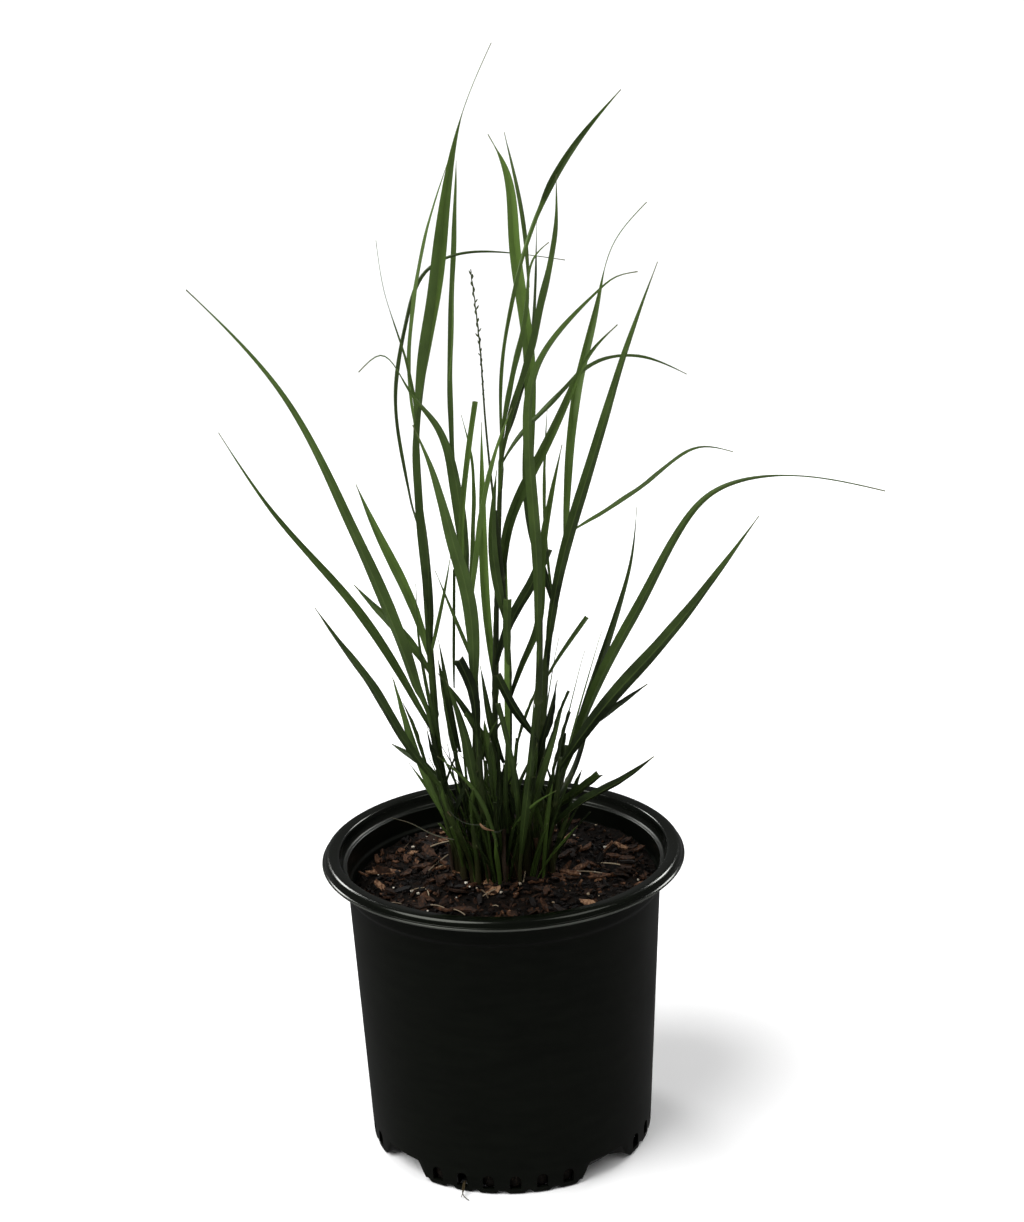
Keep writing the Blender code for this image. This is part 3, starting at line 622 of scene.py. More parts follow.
def route_length(route):
    return sum((Vector(b) - Vector(a)).length for a, b in zip(route, route[1:]))


def bend_grid(bm, across, along, place):
    """Add a grid and put each of its points where place(side from -1 to 1, row number) says."""
    made = bmesh.ops.create_grid(bm, x_segments=across, y_segments=along, size=1.0,
                                 calc_uvs=True)["verts"]
    for vert in made:
        row = round((vert.co.y + 1.0) / 2.0 * along)
        vert.co = place(vert.co.x, row)
    return made


def close_tube(bm, made, seam):
    """Merge the seam of a grid that is bent round into a tube, and close its ends."""
    bmesh.ops.remove_doubles(bm, verts=made, dist=seam)
    rims = [edge for edge in bm.edges if edge.is_boundary]
    bmesh.ops.holes_fill(bm, edges=rims, sides=0)


def add_thread(bm, route, steps, radii, aside, tone):
    """A thin closed tube along a route, from its first radius to its last."""
    places, directions = smooth_curve(route, steps)

    def place(side, row):
        along = directions[row]
        wide = along.cross(aside).normalized()
        turn = math.pi * side
        ring = wide * math.cos(turn) + along.cross(wide) * math.sin(turn)
        return places[row] + ring * between(radii, row / steps)

    made = bend_grid(bm, THREAD_SIDES, steps, place)
    set_tone(bm, made, tone)
    close_tube(bm, made, THREAD_SEAM)


# Materials

class Look:
    """A material; an input of its nodes is a number, a colour, or the socket that feeds it."""

    def __init__(self, name, roughness, gloss):
        self.material = bpy.data.materials.new(name)
        self.material.use_nodes = True
        self.tree = self.material.node_tree
        self.shader = self.tree.nodes["Principled BSDF"]
        self.shader.inputs["Roughness"].default_value = roughness
        self.shader.inputs["Specular IOR Level"].default_value = gloss

    def node(self, kind, inputs, **settings):
        made = self.tree.nodes.new("ShaderNode" + kind)
        for name, value in settings.items():
            setattr(made, name, value)
        for name, value in inputs.items():
            if isinstance(value, bpy.types.NodeSocket):
                self.tree.links.new(value, made.inputs[name])
            else:
                made.inputs[name].default_value = value
        return made

    def coordinates(self, kind="Object"):
        return self.node("TexCoord", {}).outputs[kind]

    def parts(self, vector):
        """The sockets X, Y and Z of a vector."""
        return self.node("SeparateXYZ", {"Vector": vector}).outputs

    def attribute(self, name):
        return self.node("Attribute", {}, attribute_name=name).outputs["Fac"]

    def cloudy(self, place, scale, detail=3.0, roughness=0.55):
        """Soft noise; scale is in patches per metre."""
        return self.node("TexNoise", {"Vector": place, "Scale": scale, "Detail": detail,
                                      "Roughness": roughness}).outputs["Fac"]

    def stretched(self, place, scale):
        """Coordinates scaled on each axis, for streaks."""
        return self.node("Mapping", {"Vector": place, "Scale": scale}).outputs["Vector"]

    def spread(self, value, low, high, to_low=0.0, to_high=1.0):
        """A value moved from one range to another, and held inside it."""
        return self.node("MapRange", {"Value": value, "From Min": low, "From Max": high,
                                      "To Min": to_low, "To Max": to_high}).outputs["Result"]

    def patchy(self, noise_value, swing):
        """Noise spread to a swing each side of nothing."""
        return self.spread(noise_value, 0.3, 0.7, -swing, swing)

    def arithmetic(self, operation, first, second=0.0):
        return self.node("Math", {0: first, 1: second}, operation=operation).outputs["Value"]

    def added(self, first, second):
        return self.arithmetic("ADD", first, second)

    def times(self, first, second):
        return self.arithmetic("MULTIPLY", first, second)

    def ribs(self, across, pace):
        """Fine ribs side by side, as a wave from -1 to 1."""
        return self.arithmetic("SINE", self.times(across, pace))

    def mixed(self, share, first, second):
        """Mix two colours; a Mix node has them in sockets 6 and 7, and the result in socket 2."""
        first, second = ((*colour, 1.0) if isinstance(colour, tuple) else colour
                         for colour in (first, second))
        return self.node("Mix", {0: share, 6: first, 7: second}, data_type="RGBA").outputs[2]

    def colours_along(self, value, stops):
        """A colour ramp; each stop is its position and its colour."""
        made = self.node("ValToRGB", {"Fac": value})
        elements = made.color_ramp.elements
        while len(elements) < len(stops):
            elements.new(1.0)
        for element, (position, colour) in zip(elements, stops):
            element.position = position
            element.color = (*colour, 1.0)
        return made.outputs["Color"]

    def feed(self, name, socket):
        self.tree.links.new(socket, self.shader.inputs[name])

    def relief(self, height, strength, distance):
        made = self.node("Bump", {"Height": height, "Strength": strength, "Distance": distance})
        self.feed("Normal", made.outputs["Normal"])


def pot_plastic():
    """Satin black plastic: worn in level streaks, glossier on the lip, with a painted highlight
    line along its edge.
    """
    look = Look("satin_black_plastic", 0.36, 0.26)
    look.shader.inputs["Specular Tint"].default_value = (0.96, 1.0, 0.88, 1.0)
    place = look.coordinates()
    streaks = look.cloudy(look.stretched(place, (40.0, 40.0, 220.0)), 1.0, 4.0)
    colour = look.mixed(look.spread(streaks, 0.35, 0.75), (0.0009, 0.0014, 0.0007),
                        (0.0021, 0.0029, 0.0016))
    level = look.stretched(place, (1.0, 1.0, 0.0))
    radius = look.node("VectorMath", {"Vector": level}, operation="LENGTH").outputs["Value"]
    # Painted highlight: a thin light line along the lip's outer edge, where light glints on the
    # ledge
    painted_highlight_edge = look.spread(radius, (LIP_RADIUS - 0.45) * MM, (LIP_RADIUS - 0.1) * MM)
    look.feed("Base Color", look.mixed(painted_highlight_edge, colour, (0.045, 0.047, 0.042)))
    on_lip = look.spread(radius, (MOUTH_RADIUS - 1.5) * MM, (MOUTH_RADIUS + 1.0) * MM, 0.35, 1.0)
    height = look.parts(place)["Z"]
    polish = look.times(on_lip, look.spread(height, 0.172, 0.184, 0.0, -0.24))
    haze = look.spread(look.cloudy(place, 18.0, 5.0), 0.3, 0.7, 0.36, 0.46)
    look.feed("Roughness", look.added(haze, polish))
    look.relief(look.cloudy(place, 900.0, 2.0), 0.12, 0.0002)
    return look.material


def blade_surface():
    """Grass blade: veins, a pale midrib and a drying tip on its own UV map, mottling, and painted
    shade that makes it darker lower down.
    """
    dark, light, midrib = (0.004, 0.008, 0.0012), (0.09, 0.155, 0.028), (0.153, 0.22475, 0.0504)
    look = Look("grass_blade", 0.5, 0.2)
    place = look.coordinates()
    uv = look.parts(look.coordinates("UV"))
    across, along = uv["X"], uv["Y"]
    # Painted shade: the green is darker low down and lighter high up, by height alone
    lift = look.spread(look.parts(place)["Z"], 0.20, 0.60, -0.08, 0.32)
    patches = look.patchy(look.cloudy(place, 38.0), 0.12)
    shade = look.added(look.added(look.attribute("tone"), lift), patches)
    veins = look.ribs(across, 75.0)
    veined = look.mixed(look.spread(veins, -1.0, 1.0, 0.0, 0.07), look.mixed(shade, dark, light),
                        light)
    from_rib = look.arithmetic("ABSOLUTE", look.arithmetic("SUBTRACT", across, 0.5))
    rib = look.spread(from_rib, 0.015, 0.05, 0.16, 0.0)
    dry = look.spread(along, 0.94, 1.0, 0.0, 0.75)
    look.feed("Base Color", look.mixed(dry, look.mixed(rib, veined, midrib), (0.12, 0.12, 0.06)))
    look.relief(look.added(veins, look.times(rib, 6.0)), 0.25, 0.0001)
    return look.material


def stem_surface():
    """Stem and sheaths: green above, straw and red-brown at the foot, fine ribs round it."""
    look = Look("sheathed_stem", 0.5, 0.25)
    place = look.coordinates()
    across = look.parts(look.coordinates("UV"))["X"]
    mottled = look.cloudy(look.stretched(place, (1.0, 1.0, 0.2)), 160.0)
    green = look.mixed(look.added(look.attribute("tone"), look.patchy(mottled, 0.25)),
                       (0.0055, 0.009, 0.0018), (0.032, 0.050, 0.010))
    low = look.spread(look.added(look.parts(place)["Z"], look.patchy(mottled, 0.006)),
                      0.180, 0.212, 0.85, 0.0)
    footed = look.mixed(low, green, (0.016, 0.009, 0.004))
    ribs = look.ribs(across, 150.0)
    streaked = look.mixed(look.spread(ribs, -1.0, 1.0, 0.0, 0.10), footed, (0.04, 0.065, 0.015))
    look.feed("Base Color", look.mixed(look.attribute("ring"), streaked, (0.06, 0.07, 0.025)))
    look.relief(ribs, 0.3, 0.0001)
    return look.material


def mix_surface():
    """Damp crumbs of bark, their own dark brown, with painted shade that makes their hollows nearly
    black.
    """
    look = Look("damp_bark_crumbs", 0.9, 0.08)
    crumbs = look.cloudy(look.coordinates(), 420.0, 6.0, 0.65)
    # Painted shade: the colour runs to nearly black where the bump is low, in the hollows
    look.feed("Base Color", look.colours_along(crumbs, [
        (0.3, (0.0006, 0.0004, 0.0002)), (0.5, (0.002, 0.0012, 0.0006)),
        (0.68, (0.010, 0.005, 0.0024))]))
    look.relief(crumbs, 0.9, 0.0012)
    return look.material


def bark_surface():
    """Bark chips: each its own brown, streaked along its grain."""
    look = Look("bark", 0.75, 0.15)
    fibres = look.cloudy(look.stretched(look.coordinates(), (1.0, 0.35, 1.0)), 700.0, 5.0, 0.6)
    shade = look.added(look.attribute("tone"), look.patchy(fibres, 0.2))
    look.feed("Base Color", look.colours_along(shade, [
        (0.0, (0.0006, 0.0004, 0.0003)), (0.3, (0.004, 0.002, 0.001)),
        (0.6, (0.022, 0.0088, 0.0034)), (0.85, (0.074, 0.032, 0.0145)),
        (1.0, (0.21, 0.12, 0.066))]))
    look.relief(fibres, 0.6, 0.0005)
    return look.material


def crumb_surface(name, dark, light, roughness):
    """Dry or dead matter, patchy, between two colours as its tone says."""
    look = Look(name, roughness, 0.25)
    patches = look.cloudy(look.coordinates(), 900.0, 4.0)
    share = look.added(look.attribute("tone"), look.patchy(patches, 0.15))
    look.feed("Base Color", look.mixed(share, dark, light))
    look.relief(patches, 0.5, 0.0004)
    return look.material


# Pot

def angle_from_front(x, y):
    """Degrees round the pot from its front, growing to the right."""
    return math.degrees(math.atan2(x, -y))


def apart(angle, other):
    """Degrees between two angles, the short way round."""
    return abs((angle - other + 180.0) % 360.0 - 180.0)


def scallop_share(angle):
    """How far the pot's foot is raised at an angle: 1 in the middle of a scallop, 0 on a lobe."""
    away = min(apart(angle, middle) for middle in SCALLOP_ANGLES)
    return smooth_step((SCALLOP_END - away) / (SCALLOP_END - SCALLOP_FLAT))


def slot_angles():
    """The drain slots' angles, an even row of them on each lobe of the foot."""
    return [lobe + (index - (SLOT_COUNT - 1) / 2.0) * SLOT_PITCH
            for lobe in LOBE_ANGLES for index in range(SLOT_COUNT)]


def rounded(corners):
    """An outline of points from corners (radius, height, rounding), each rounded corner an arc."""
    outline = []
    for index, (radius, height, rounding) in enumerate(corners):
        here = Vector((radius, height))
        if not rounding:
            outline.append(here)
            continue
        before = Vector(corners[index - 1][:2])
        after = Vector(corners[index + 1][:2])
        first = here + (before - here).normalized() * rounding
        last = here + (after - here).normalized() * rounding
        steps = ROUNDING_STEPS if rounding < WIDE_ROUNDING else WIDE_ROUNDING_STEPS
        for step in range(steps + 1):
            t = step / steps
            outline.append(first.lerp(here, t).lerp(here.lerp(last, t), t))
    return outline


def pot_outline():
    """The pot's section, from the middle of its underside, up the outside and down the inside."""
    ledge = POT_HEIGHT - 9.0
    step = BAND_FOOT - 1.5
    corner = FOOT_RADIUS + CORNER_FLARE
    inside = BAND_RADIUS - WALL
    return rounded([
        (0, 0, 0), (FLAT_FLOOR_RADIUS, 0, 0), (FOOT_RADIUS - 3.5, 0, 0), (FOOT_RADIUS, 0, 1.6),
        (corner, CORNER_HEIGHT, 4), (WALL_TOP_RADIUS, step, 1.3),
        (BAND_RADIUS, BAND_FOOT + 1.0, 1.2), (BAND_RADIUS + 0.2, ledge + 1.2, 1.2),
        (LIP_RADIUS - 4.5, POT_HEIGHT - 6.8, 3.0),
        (LIP_RADIUS - 0.9, POT_HEIGHT - 6.5, 0.4), (LIP_RADIUS, POT_HEIGHT - 6.0, 0.5),
        (LIP_RADIUS - 0.1, POT_HEIGHT - 4.9, 0.6), (LIP_RADIUS - 1.4, POT_HEIGHT - 4.4, 0.2),
        (LIP_RADIUS - 2.0, POT_HEIGHT, 4.0), (MOUTH_RADIUS + 0.3, POT_HEIGHT - 0.9, 1.4),
        (MOUTH_RADIUS - 1.2, ledge + 2.4, 2.0), (inside + 2.4, ledge + 0.6, 0.9),
        (inside + 0.1, ledge - 0.2, 0.7), (inside - 0.4, BAND_FOOT + 1.2, 0.8),
        (WALL_TOP_RADIUS - WALL + 0.1, step + 0.6, 0.7), (corner - WALL, CORNER_HEIGHT, 3),
        (FOOT_RADIUS - WALL, FLOOR, 1.2), (FLAT_FLOOR_RADIUS - 1, FLOOR, 0), (0, FLOOR, 0)])


def add_slot(bm, angle):
    """One cutter for a round-topped drain slot, through the wall and the floor's edge."""
    half = SLOT_WIDTH / 2.0
    spring = SLOT_TOP - half
    outline = [(-half, SLOT_FOOT), (half, SLOT_FOOT), (half, spring)]
    for step in range(1, SLOT_ARCH_STEPS):
        turn = math.pi * step / SLOT_ARCH_STEPS
        outline.append((half * math.cos(turn), spring + half * math.sin(turn)))
    outline.append((-half, spring))
    face = bm.faces.new([bm.verts.new((x, -SLOT_NEAR, z)) for x, z in outline])
    made = bmesh.ops.extrude_face_region(bm, geom=[face])["geom"]
    moved = [item for item in made if isinstance(item, bmesh.types.BMVert)]
    bmesh.ops.translate(bm, vec=(0, -SLOT_CUT_DEPTH, 0), verts=moved)
    turn_to(bm, moved + list(face.verts), angle)
    block = bmesh.ops.create_cube(bm, size=1.0)["verts"]
    depth = TRENCH_FAR - TRENCH_NEAR
    bmesh.ops.scale(bm, vec=(SLOT_WIDTH, depth, FLOOR + 2.0), verts=block)
    bmesh.ops.translate(bm, vec=(0, -(TRENCH_NEAR + depth / 2.0), FLOOR / 2.0), verts=block)
    turn_to(bm, block, angle)


def carve(bm, cutter):
    """Cut one closed bmesh out of another, and give the result as a new bmesh."""
    whole = new_object("whole", new_mesh("whole", bm))
    knife = new_object("cutter", new_mesh("cutter", cutter))
    cut = whole.modifiers.new("cut", "BOOLEAN")
    cut.operation = "DIFFERENCE"
    cut.solver = "EXACT"
    cut.object = knife
    result = bmesh.new()
    result.from_object(whole, bpy.context.evaluated_depsgraph_get())
    for item in (whole, knife):
        bpy.data.objects.remove(item, do_unlink=True)
    return result


def make_pot(material):
    """The pot, its foot raised in the scallops and between the lugs, and its drain slots cut."""
    bm = spun(pot_outline(), POT_STEPS, POT_START)
    slots = slot_angles()
    for vert in bm.verts:
        radius = math.hypot(vert.co.x, vert.co.y)
        angle = angle_from_front(vert.co.x, vert.co.y)
        if radius > FLAT_FLOOR_RADIUS + 1 and vert.co.z < RAISED_BAND:
            share = scallop_share(angle)
            vert.co.z += SCALLOP_LIFT * share
            off_lugs = min(apart(angle, slot) for slot in slots) > LUG_HALF_WIDTH
            if radius > LUG_RING and vert.co.z < LUG_BAND and off_lugs:
                vert.co.z += LUG_LIFT * (1.0 - share)
    cutter = bmesh.new()
    for angle in slots:
        add_slot(cutter, angle)
    bmesh.ops.recalc_face_normals(cutter, faces=cutter.faces)
    add_piece("nursery_pot", carve(bm, cutter), material, ["pot"])


# Growing mix

def ground(x, y):
    """Height of the mix: level under the clump, lower, lumpy and a little tilted near the wall."""
    share = clamped((math.hypot(x, y) - CROWN_RADIUS) / (WALL_TOP_RADIUS - CROWN_RADIUS))
    edge = EDGE_LEVEL + EDGE_TILT * (x + y) / WALL_TOP_RADIUS
    lumps = LUMP * noise.noise(Vector((x, y, 0.0)) / LUMP_SPREAD)
    return CROWN_LEVEL + share * (edge - CROWN_LEVEL + lumps)


def crumbly(x, y):
    """Small hollows and lumps on the mix."""
    place = Vector((x, y, CRUMB_LAYER))
    return sum(height * noise.noise(place / size) for height, size in CRUMB_LUMPS)


def make_mix(material):
    """The bed of mix: it stands off the pot's wall by a gap, and its top is a fine turned grid."""
    foot = FOOT_RADIUS + CORNER_FLARE - WALL - GAP
    bottom = FLOOR + GAP
    side = [(0, bottom), (SOIL_FOOT_RADIUS, bottom), (foot - 0.3, CORNER_HEIGHT + 5.0),
            MIX_SHOULDER]
    rings = [(MIX_RIM * ring / MIX_RINGS, EDGE_LEVEL) for ring in range(MIX_RINGS + 1)]
    bm = spun(side + rings[::-1], MIX_STEPS, POT_START)
    for vert in bm.verts:
        if vert.co.z > EDGE_LEVEL - 1.0:
            x, y = vert.co.xy
            vert.co.z = ground(x, y) - MIX_SINK + crumbly(x, y)
    add_piece("growing_mix_bed", bm, material, ["potting_soil"])


# Stems

def stem_route(stem):
    """A stem's points, from just above the mix, where it starts upright."""
    x, y = stem.route[0]
    foot = CROWN_LEVEL + GAP
    return [(x, y, foot), (x, y, foot + STEM_START)] + stem.route[1:]


def stem_at(stem, height):
    """The point of a stem's middle line at a height, the stem's direction and its radius there."""
    places, directions = smooth_curve(stem_route(stem), CAD_STEM_STEPS)
    after = next((i for i, place in enumerate(places) if place.z >= height), CAD_STEM_STEPS)
    after = max(1, after)
    low, high = places[after - 1], places[after]
    part = min(1.0, (height - low.z) / (high.z - low.z))
    share = (after - 1 + part) / CAD_STEM_STEPS
    return low.lerp(high, part), directions[after], between((stem.foot, stem.top), share)


def face_normal(along, turn):
    """The way a blade's face looks: to the front, then turned about its own length."""
    level = (FRONT - along * FRONT.dot(along)).normalized()
    return Matrix.Rotation(math.radians(turn), 3, along) @ level


def add_stem(bm, stem, index):
    """A stem in its sheaths: wide and flat at the foot, a ring and a fresh sheath at each node."""
    route = stem_route(stem)
    route[0] = (*route[0][:2], route[0][2] - SUNK)
    length = route_length(route)
    count = max(FEWEST_STEM_STEPS, round(length / STEM_STEP))
    places, directions = smooth_curve(route, count)
    draw = random.Random(STEM_SEED + STEM_SEED_STEP * index)
    flat_turn = draw.uniform(-FLATTEST_TURN, FLATTEST_TURN)
    flare = stem.foot / 2.0 * SHOOT_FLARE * draw.uniform(*FLARE_SPREAD)
    nodes = []
    height = draw.uniform(*FIRST_NODE)
    while height < length - CLEAR_TOP:
        nodes.append(height)
        height += draw.uniform(*NODE_SPACING)

    def place(side, row):
        along = directions[row]
        done = length * row / count
        wide = face_normal(along, flat_turn + 90.0)
        deep = along.cross(wide)
        last_node = max([node for node in nodes if node <= done], default=LOWEST_NODE)
        sheath = SHEATH_SWELL * (1.0 - min(1.0, (done - last_node) / SHEATH_FADE))
        swell = sum(NODE_SWELL * math.exp(-((done - node) / NODE_REACH) ** 2) for node in nodes)
        spread_out = flare * math.exp(-done / SHOOT_FLARE_REACH)
        turn = math.pi * side
        overlap = SHEATH_OVERLAP * (side + 1.0) / 2.0
        radius = between((stem.foot, stem.top), row / count)
        reach = radius + sheath + swell - STEM_INSET + overlap
        return (places[row] + wide * (math.cos(turn) * (reach + spread_out))
                + deep * (math.sin(turn) * (reach + FLAT_SHARE * spread_out)))

    made = bend_grid(bm, STEM_SIDES, count, place)
    set_tone(bm, made, draw.uniform(*STEM_TONE))
    ring = bm.verts.layers.float["ring"]
    for node in nodes:
        spot = places[round(node / length * count)]
        for vert in made:
            if (vert.co - spot).length < RING_REACH and abs(vert.co.z - spot.z) < RING_HEIGHT:
                vert[ring] = RING_SHARE
    close_tube(bm, made, STEM_SEAM)


def start_stems():
    """An empty bmesh that also marks the rings of the stems."""
    bm = start_mesh()
    bm.verts.layers.float.new("ring")
    return bm


def make_stem(name, stem, index, material):
    bm = start_stems()
    add_stem(bm, stem, index)
    bmesh.ops.recalc_face_normals(bm, faces=bm.faces)
    add_piece(name.replace("stem", "sheathed_stem"), bm, material, [name])


# Blades

def blade_share(s, broad, cut, end=1.0, taper=TIP_TAPER):
    """The blade's width at s along it, as a share of its greatest width."""
    if s < broad:
        return COLLAR_SHARE + (1.0 - COLLAR_SHARE) * math.sin(0.5 * math.pi * s / broad)
    if cut:
        return 1.0
    return 1.0 - (min(1.0, (s - broad) / (end - broad))) ** taper


def blade_rows(leaf, stem, name):
    """Rows along a leaf: its sheath round the stem, and then its blade.

    Each row has its middle point, its direction, the way its lower face looks, its width, how far
    it curls round the stem, in radians each side of its middle, and how far along the blade it is.
    """
    foot, upward, radius = stem_at(stem, leaf.collar)
    normal = face_normal(upward, leaf.turn[0])
    sign = -1.0 if normal.dot(Vector(leaf.route[0]) - foot) < 0 else 1.0
    outward = normal * sign
    off = radius + GAP + CAD_LEAF_THICKNESS + LEAF_FOLD * leaf.width
    route = [tuple(foot + outward * off)] + leaf.route
    length = route_length(route)
    count = max(FEWEST_BLADE_STEPS, round(length / BLADE_STEP))
    hug = radius + HUG_GAP
    rows = []
    sheath_rows = round(SHEATH_LENGTH / SHEATH_STEP)
    for step in range(sheath_rows):
        share = step / sheath_rows
        middle, along, thick = stem_at(stem, leaf.collar - SHEATH_LENGTH * (1.0 - share))
        out = (outward - along * outward.dot(along)).normalized()
        at_collar = smooth_step((share - COLLAR_START) / (1.0 - COLLAR_START))
        curl = SHEATH_CURL - COLLAR_CURL * at_collar
        reach = thick + between(SHEATH_GAP, share)
        rows.append((middle + out * reach, along, out, 2.0 * curl * reach, curl, 0.0))
    finer, broad, end, taper = FINER.get(name, (1.0, leaf.broad, 1.0, TIP_TAPER))
    for step, (spot, along) in enumerate(zip(*smooth_curve(route, count))):
        s = step / count
        turn = between(leaf.turn, s)
        if name in EDGE_ON:
            turn += EDGE_TURN * (1.0 - smooth_step((s - EDGE_ON[name][0]) / EDGE_LENGTH))
        width = leaf.width * finer * blade_share(s, broad, leaf.cut, end, taper)
        width = max(LEAF_TIP_WIDTH, width)
        clasp = 1.0 - smooth_step(s * length / CLASP_LENGTH)
        middle = spot - outward * ((off - hug) * clasp)
        curl = (min(CLASP_CURL, width / 2.0 / hug) * clasp
                + (OPEN_CURL - FLATTENING * s) * (1.0 - clasp))
        rows.append((middle, along, face_normal(along, turn) * sign, width, curl, s))
    return rows


def add_blade(bm, leaf, stem, tones, name=""):
    """Add one leaf as an open surface; its UV map runs across it and along its blade."""
    rows = blade_rows(leaf, stem, name)

    def place(side, row):
        middle, along, out, width, curl, s = rows[row]
        bow = width / 2.0 / max(curl, FLATTEST_CURL)
        turn = side * curl
        fold = FOLD_DEPTH * width * (0.5 - abs(side)) * smooth_step(s * FOLD_START)
        ripple = math.sin(s * RIPPLE_PACE + side) * abs(side) * width * RIPPLE
        return (middle + along.cross(out) * (bow * math.sin(turn))
                + out * (bow * (math.cos(turn) - 1.0) + fold + ripple))

    made = bend_grid(bm, BLADE_ACROSS, len(rows) - 1, place)
    shade_along(bm, made, rows, tones, EDGE_ON.get(name))
    if leaf.cut:
        keep_green(bm, made)


def shade_along(bm, made, rows, tones, edge_on):
    """Tone a blade from low to high on it, and darken it with painted shade where it shows its
    back.
    """
    layer = bm.verts.layers.float["tone"]
    for index, vert in enumerate(made):
        s = rows[index // (BLADE_ACROSS + 1)][-1]
        vert[layer] = between(tones, s)
        # Painted shade on the stretch where the blade turns its back, fading out towards the tip
        if edge_on and s > edge_on[0] + 0.5 * EDGE_LENGTH:
            vert[layer] -= edge_on[1] * smooth_step((1.0 - s) * BACK_FADE)


def keep_green(bm, made):
    """Shorten the UV map of a cut leaf, so that it has no dry tip."""
    layer = bm.loops.layers.uv.active
    for vert in made:
        for loop in vert.link_loops:
            loop[layer].uv.y *= CUT_LENGTH


def make_blade(name, leaf, tones, material):
    bm = start_mesh()
    add_blade(bm, leaf, STEMS[f"stem_{leaf.stem:02d}"], tones, name)
    add_leaves(name.replace("leaf", "grass_blade"), bm, material, replaced=[name])


def add_ribbon(bm, route, width, tone, turn, cut=False, curl=0.5, broad=MIDDLE_BROAD):
    """A narrow leaf or strand that isn't wrapped round a stem."""
    count = max(FEWEST_RIBBON_STEPS, round(route_length(route) / RIBBON_STEP))
    places, directions = smooth_curve(route, count)

    def place(side, row):
        s = row / count
        along = directions[row]
        out = face_normal(along, between(turn, s))
        bow = max(LEAF_TIP_WIDTH, width * blade_share(s, broad, cut)) / 2.0 / curl
        return (places[row] + along.cross(out) * (bow * math.sin(side * curl))
                + out * bow * math.cos(side * curl))

    made = bend_grid(bm, RIBBON_ACROSS, count, place)
    set_tone(bm, made, tone)
    if cut:
        keep_green(bm, made)


def make_ribbons(name, rows, material):
    bm = start_mesh()
    for row in rows:
        add_ribbon(bm, *row)
    add_leaves(name, bm, material)


def rising(foot, lean, height, early):
    """A route up from a foot: half way up, it has the early share of its lean."""
    return [foot, foot + lean * (height * early) + Vector((0.0, 0.0, 0.5 * height)),
            foot + lean * height + Vector((0.0, 0.0, height))]


def make_side_shoots(stem_look, blade_look):
    """Short sheathed shoots between the stems, each with a leaf or two."""
    draw = random.Random(11)
    shoots = start_stems()
    leaves = start_mesh()
    for index, (x, y, height) in enumerate(SIDE_SHOOTS, SHOOT_SEEDS_FROM):
        away = Vector((x, y, 0.0)) - SHOOTS_MIDDLE
        lean = away.normalized() * height * draw.uniform(*SHOOT_LEAN)
        shoot = Stem(draw.uniform(*SHOOT_FOOT), SHOOT_TOP,
                     [(x, y), (x + 0.4 * lean.x, y + 0.4 * lean.y, CROWN_LEVEL + 0.55 * height),
                      (x + lean.x, y + lean.y, CROWN_LEVEL + height)])
        add_stem(shoots, shoot, index)
        lean_angle = angle_from_front(lean.x, lean.y)
        for number in range(draw.choice((1, 2))):
            turn = lean_angle + draw.uniform(-SHOOT_LEAF_SWING, SHOOT_LEAF_SWING) + 180.0 * number
            collar = CROWN_LEVEL + height * (0.96 - 0.3 * number)
            reach = draw.uniform(*SHOOT_LEAF_REACH)
            foot = stem_at(shoot, collar)[0]
            bend = draw.uniform(*SHOOT_LEAF_BEND)
            route = [tuple(foot + heading(turn) * (2.0 + reach * bend * early)
                           + Vector((0, 0, reach * rise)))
                     for early, rise in ((0.42, 0.5), (1.0, 1.0 - 0.25 * bend))]
            leaf = Leaf(0, collar, draw.uniform(*SHOOT_LEAF_WIDTH), SHOOT_LEAF_BROAD,
                        (turn, turn + draw.uniform(-SHOOT_LEAF_TWIST, SHOOT_LEAF_TWIST)), route,
                        draw.random() < SHOOT_LEAF_CUT)
            add_blade(leaves, leaf, shoot, [draw.uniform(*SHOOT_LEAF_TONE)] * 2)
    bmesh.ops.recalc_face_normals(shoots, faces=shoots.faces)
    add_piece("side_shoots", shoots, stem_look)
    add_leaves("side_shoot_leaves", leaves, blade_look)


def make_tangle(blade_look, straw_look):
    """Thin leaves that rise from the crown between the stems; every fourth of them is dead."""
    draw = random.Random(71)
    green = start_mesh()
    dead = start_mesh()
    for index in range(TANGLE_COUNT):
        turn = draw.uniform(0.0, math.tau)
        reach = math.sqrt(draw.random())
        aside = CLUMP_REACH[0] * reach * math.sin(turn)
        forth = -CLUMP_REACH[1] * reach * math.cos(turn)
        foot = Vector((CLUMP_MIDDLE[0] + aside, CLUMP_MIDDLE[1] + forth, CROWN_LEVEL - SUNK))
        is_dead = index % 4 == 0
        height = draw.uniform(*(DEAD_HEIGHT if is_dead else GREEN_HEIGHT))
        lean = Vector((aside * OUTWARD_LEAN[0] + draw.gauss(0.0, RANDOM_LEAN[0]),
                       forth * OUTWARD_LEAN[1] + draw.gauss(0.0, RANDOM_LEAN[1]), 0.0))
        face = draw.uniform(-TANGLE_FACE, TANGLE_FACE)
        width = draw.uniform(*TANGLE_WIDTH)
        add_ribbon(dead if is_dead else green, rising(foot, lean, height, TANGLE_EARLY), width,
                   draw.uniform(*TANGLE_TONE),
                   (face, face + draw.uniform(-TANGLE_TWIST, TANGLE_TWIST)),
                   draw.random() < TANGLE_CUT, draw.uniform(*TANGLE_CURL), TANGLE_BROAD)
    add_leaves("tangled_leaves", green, blade_look)
    add_leaves("dead_basal_leaves", dead, straw_look)


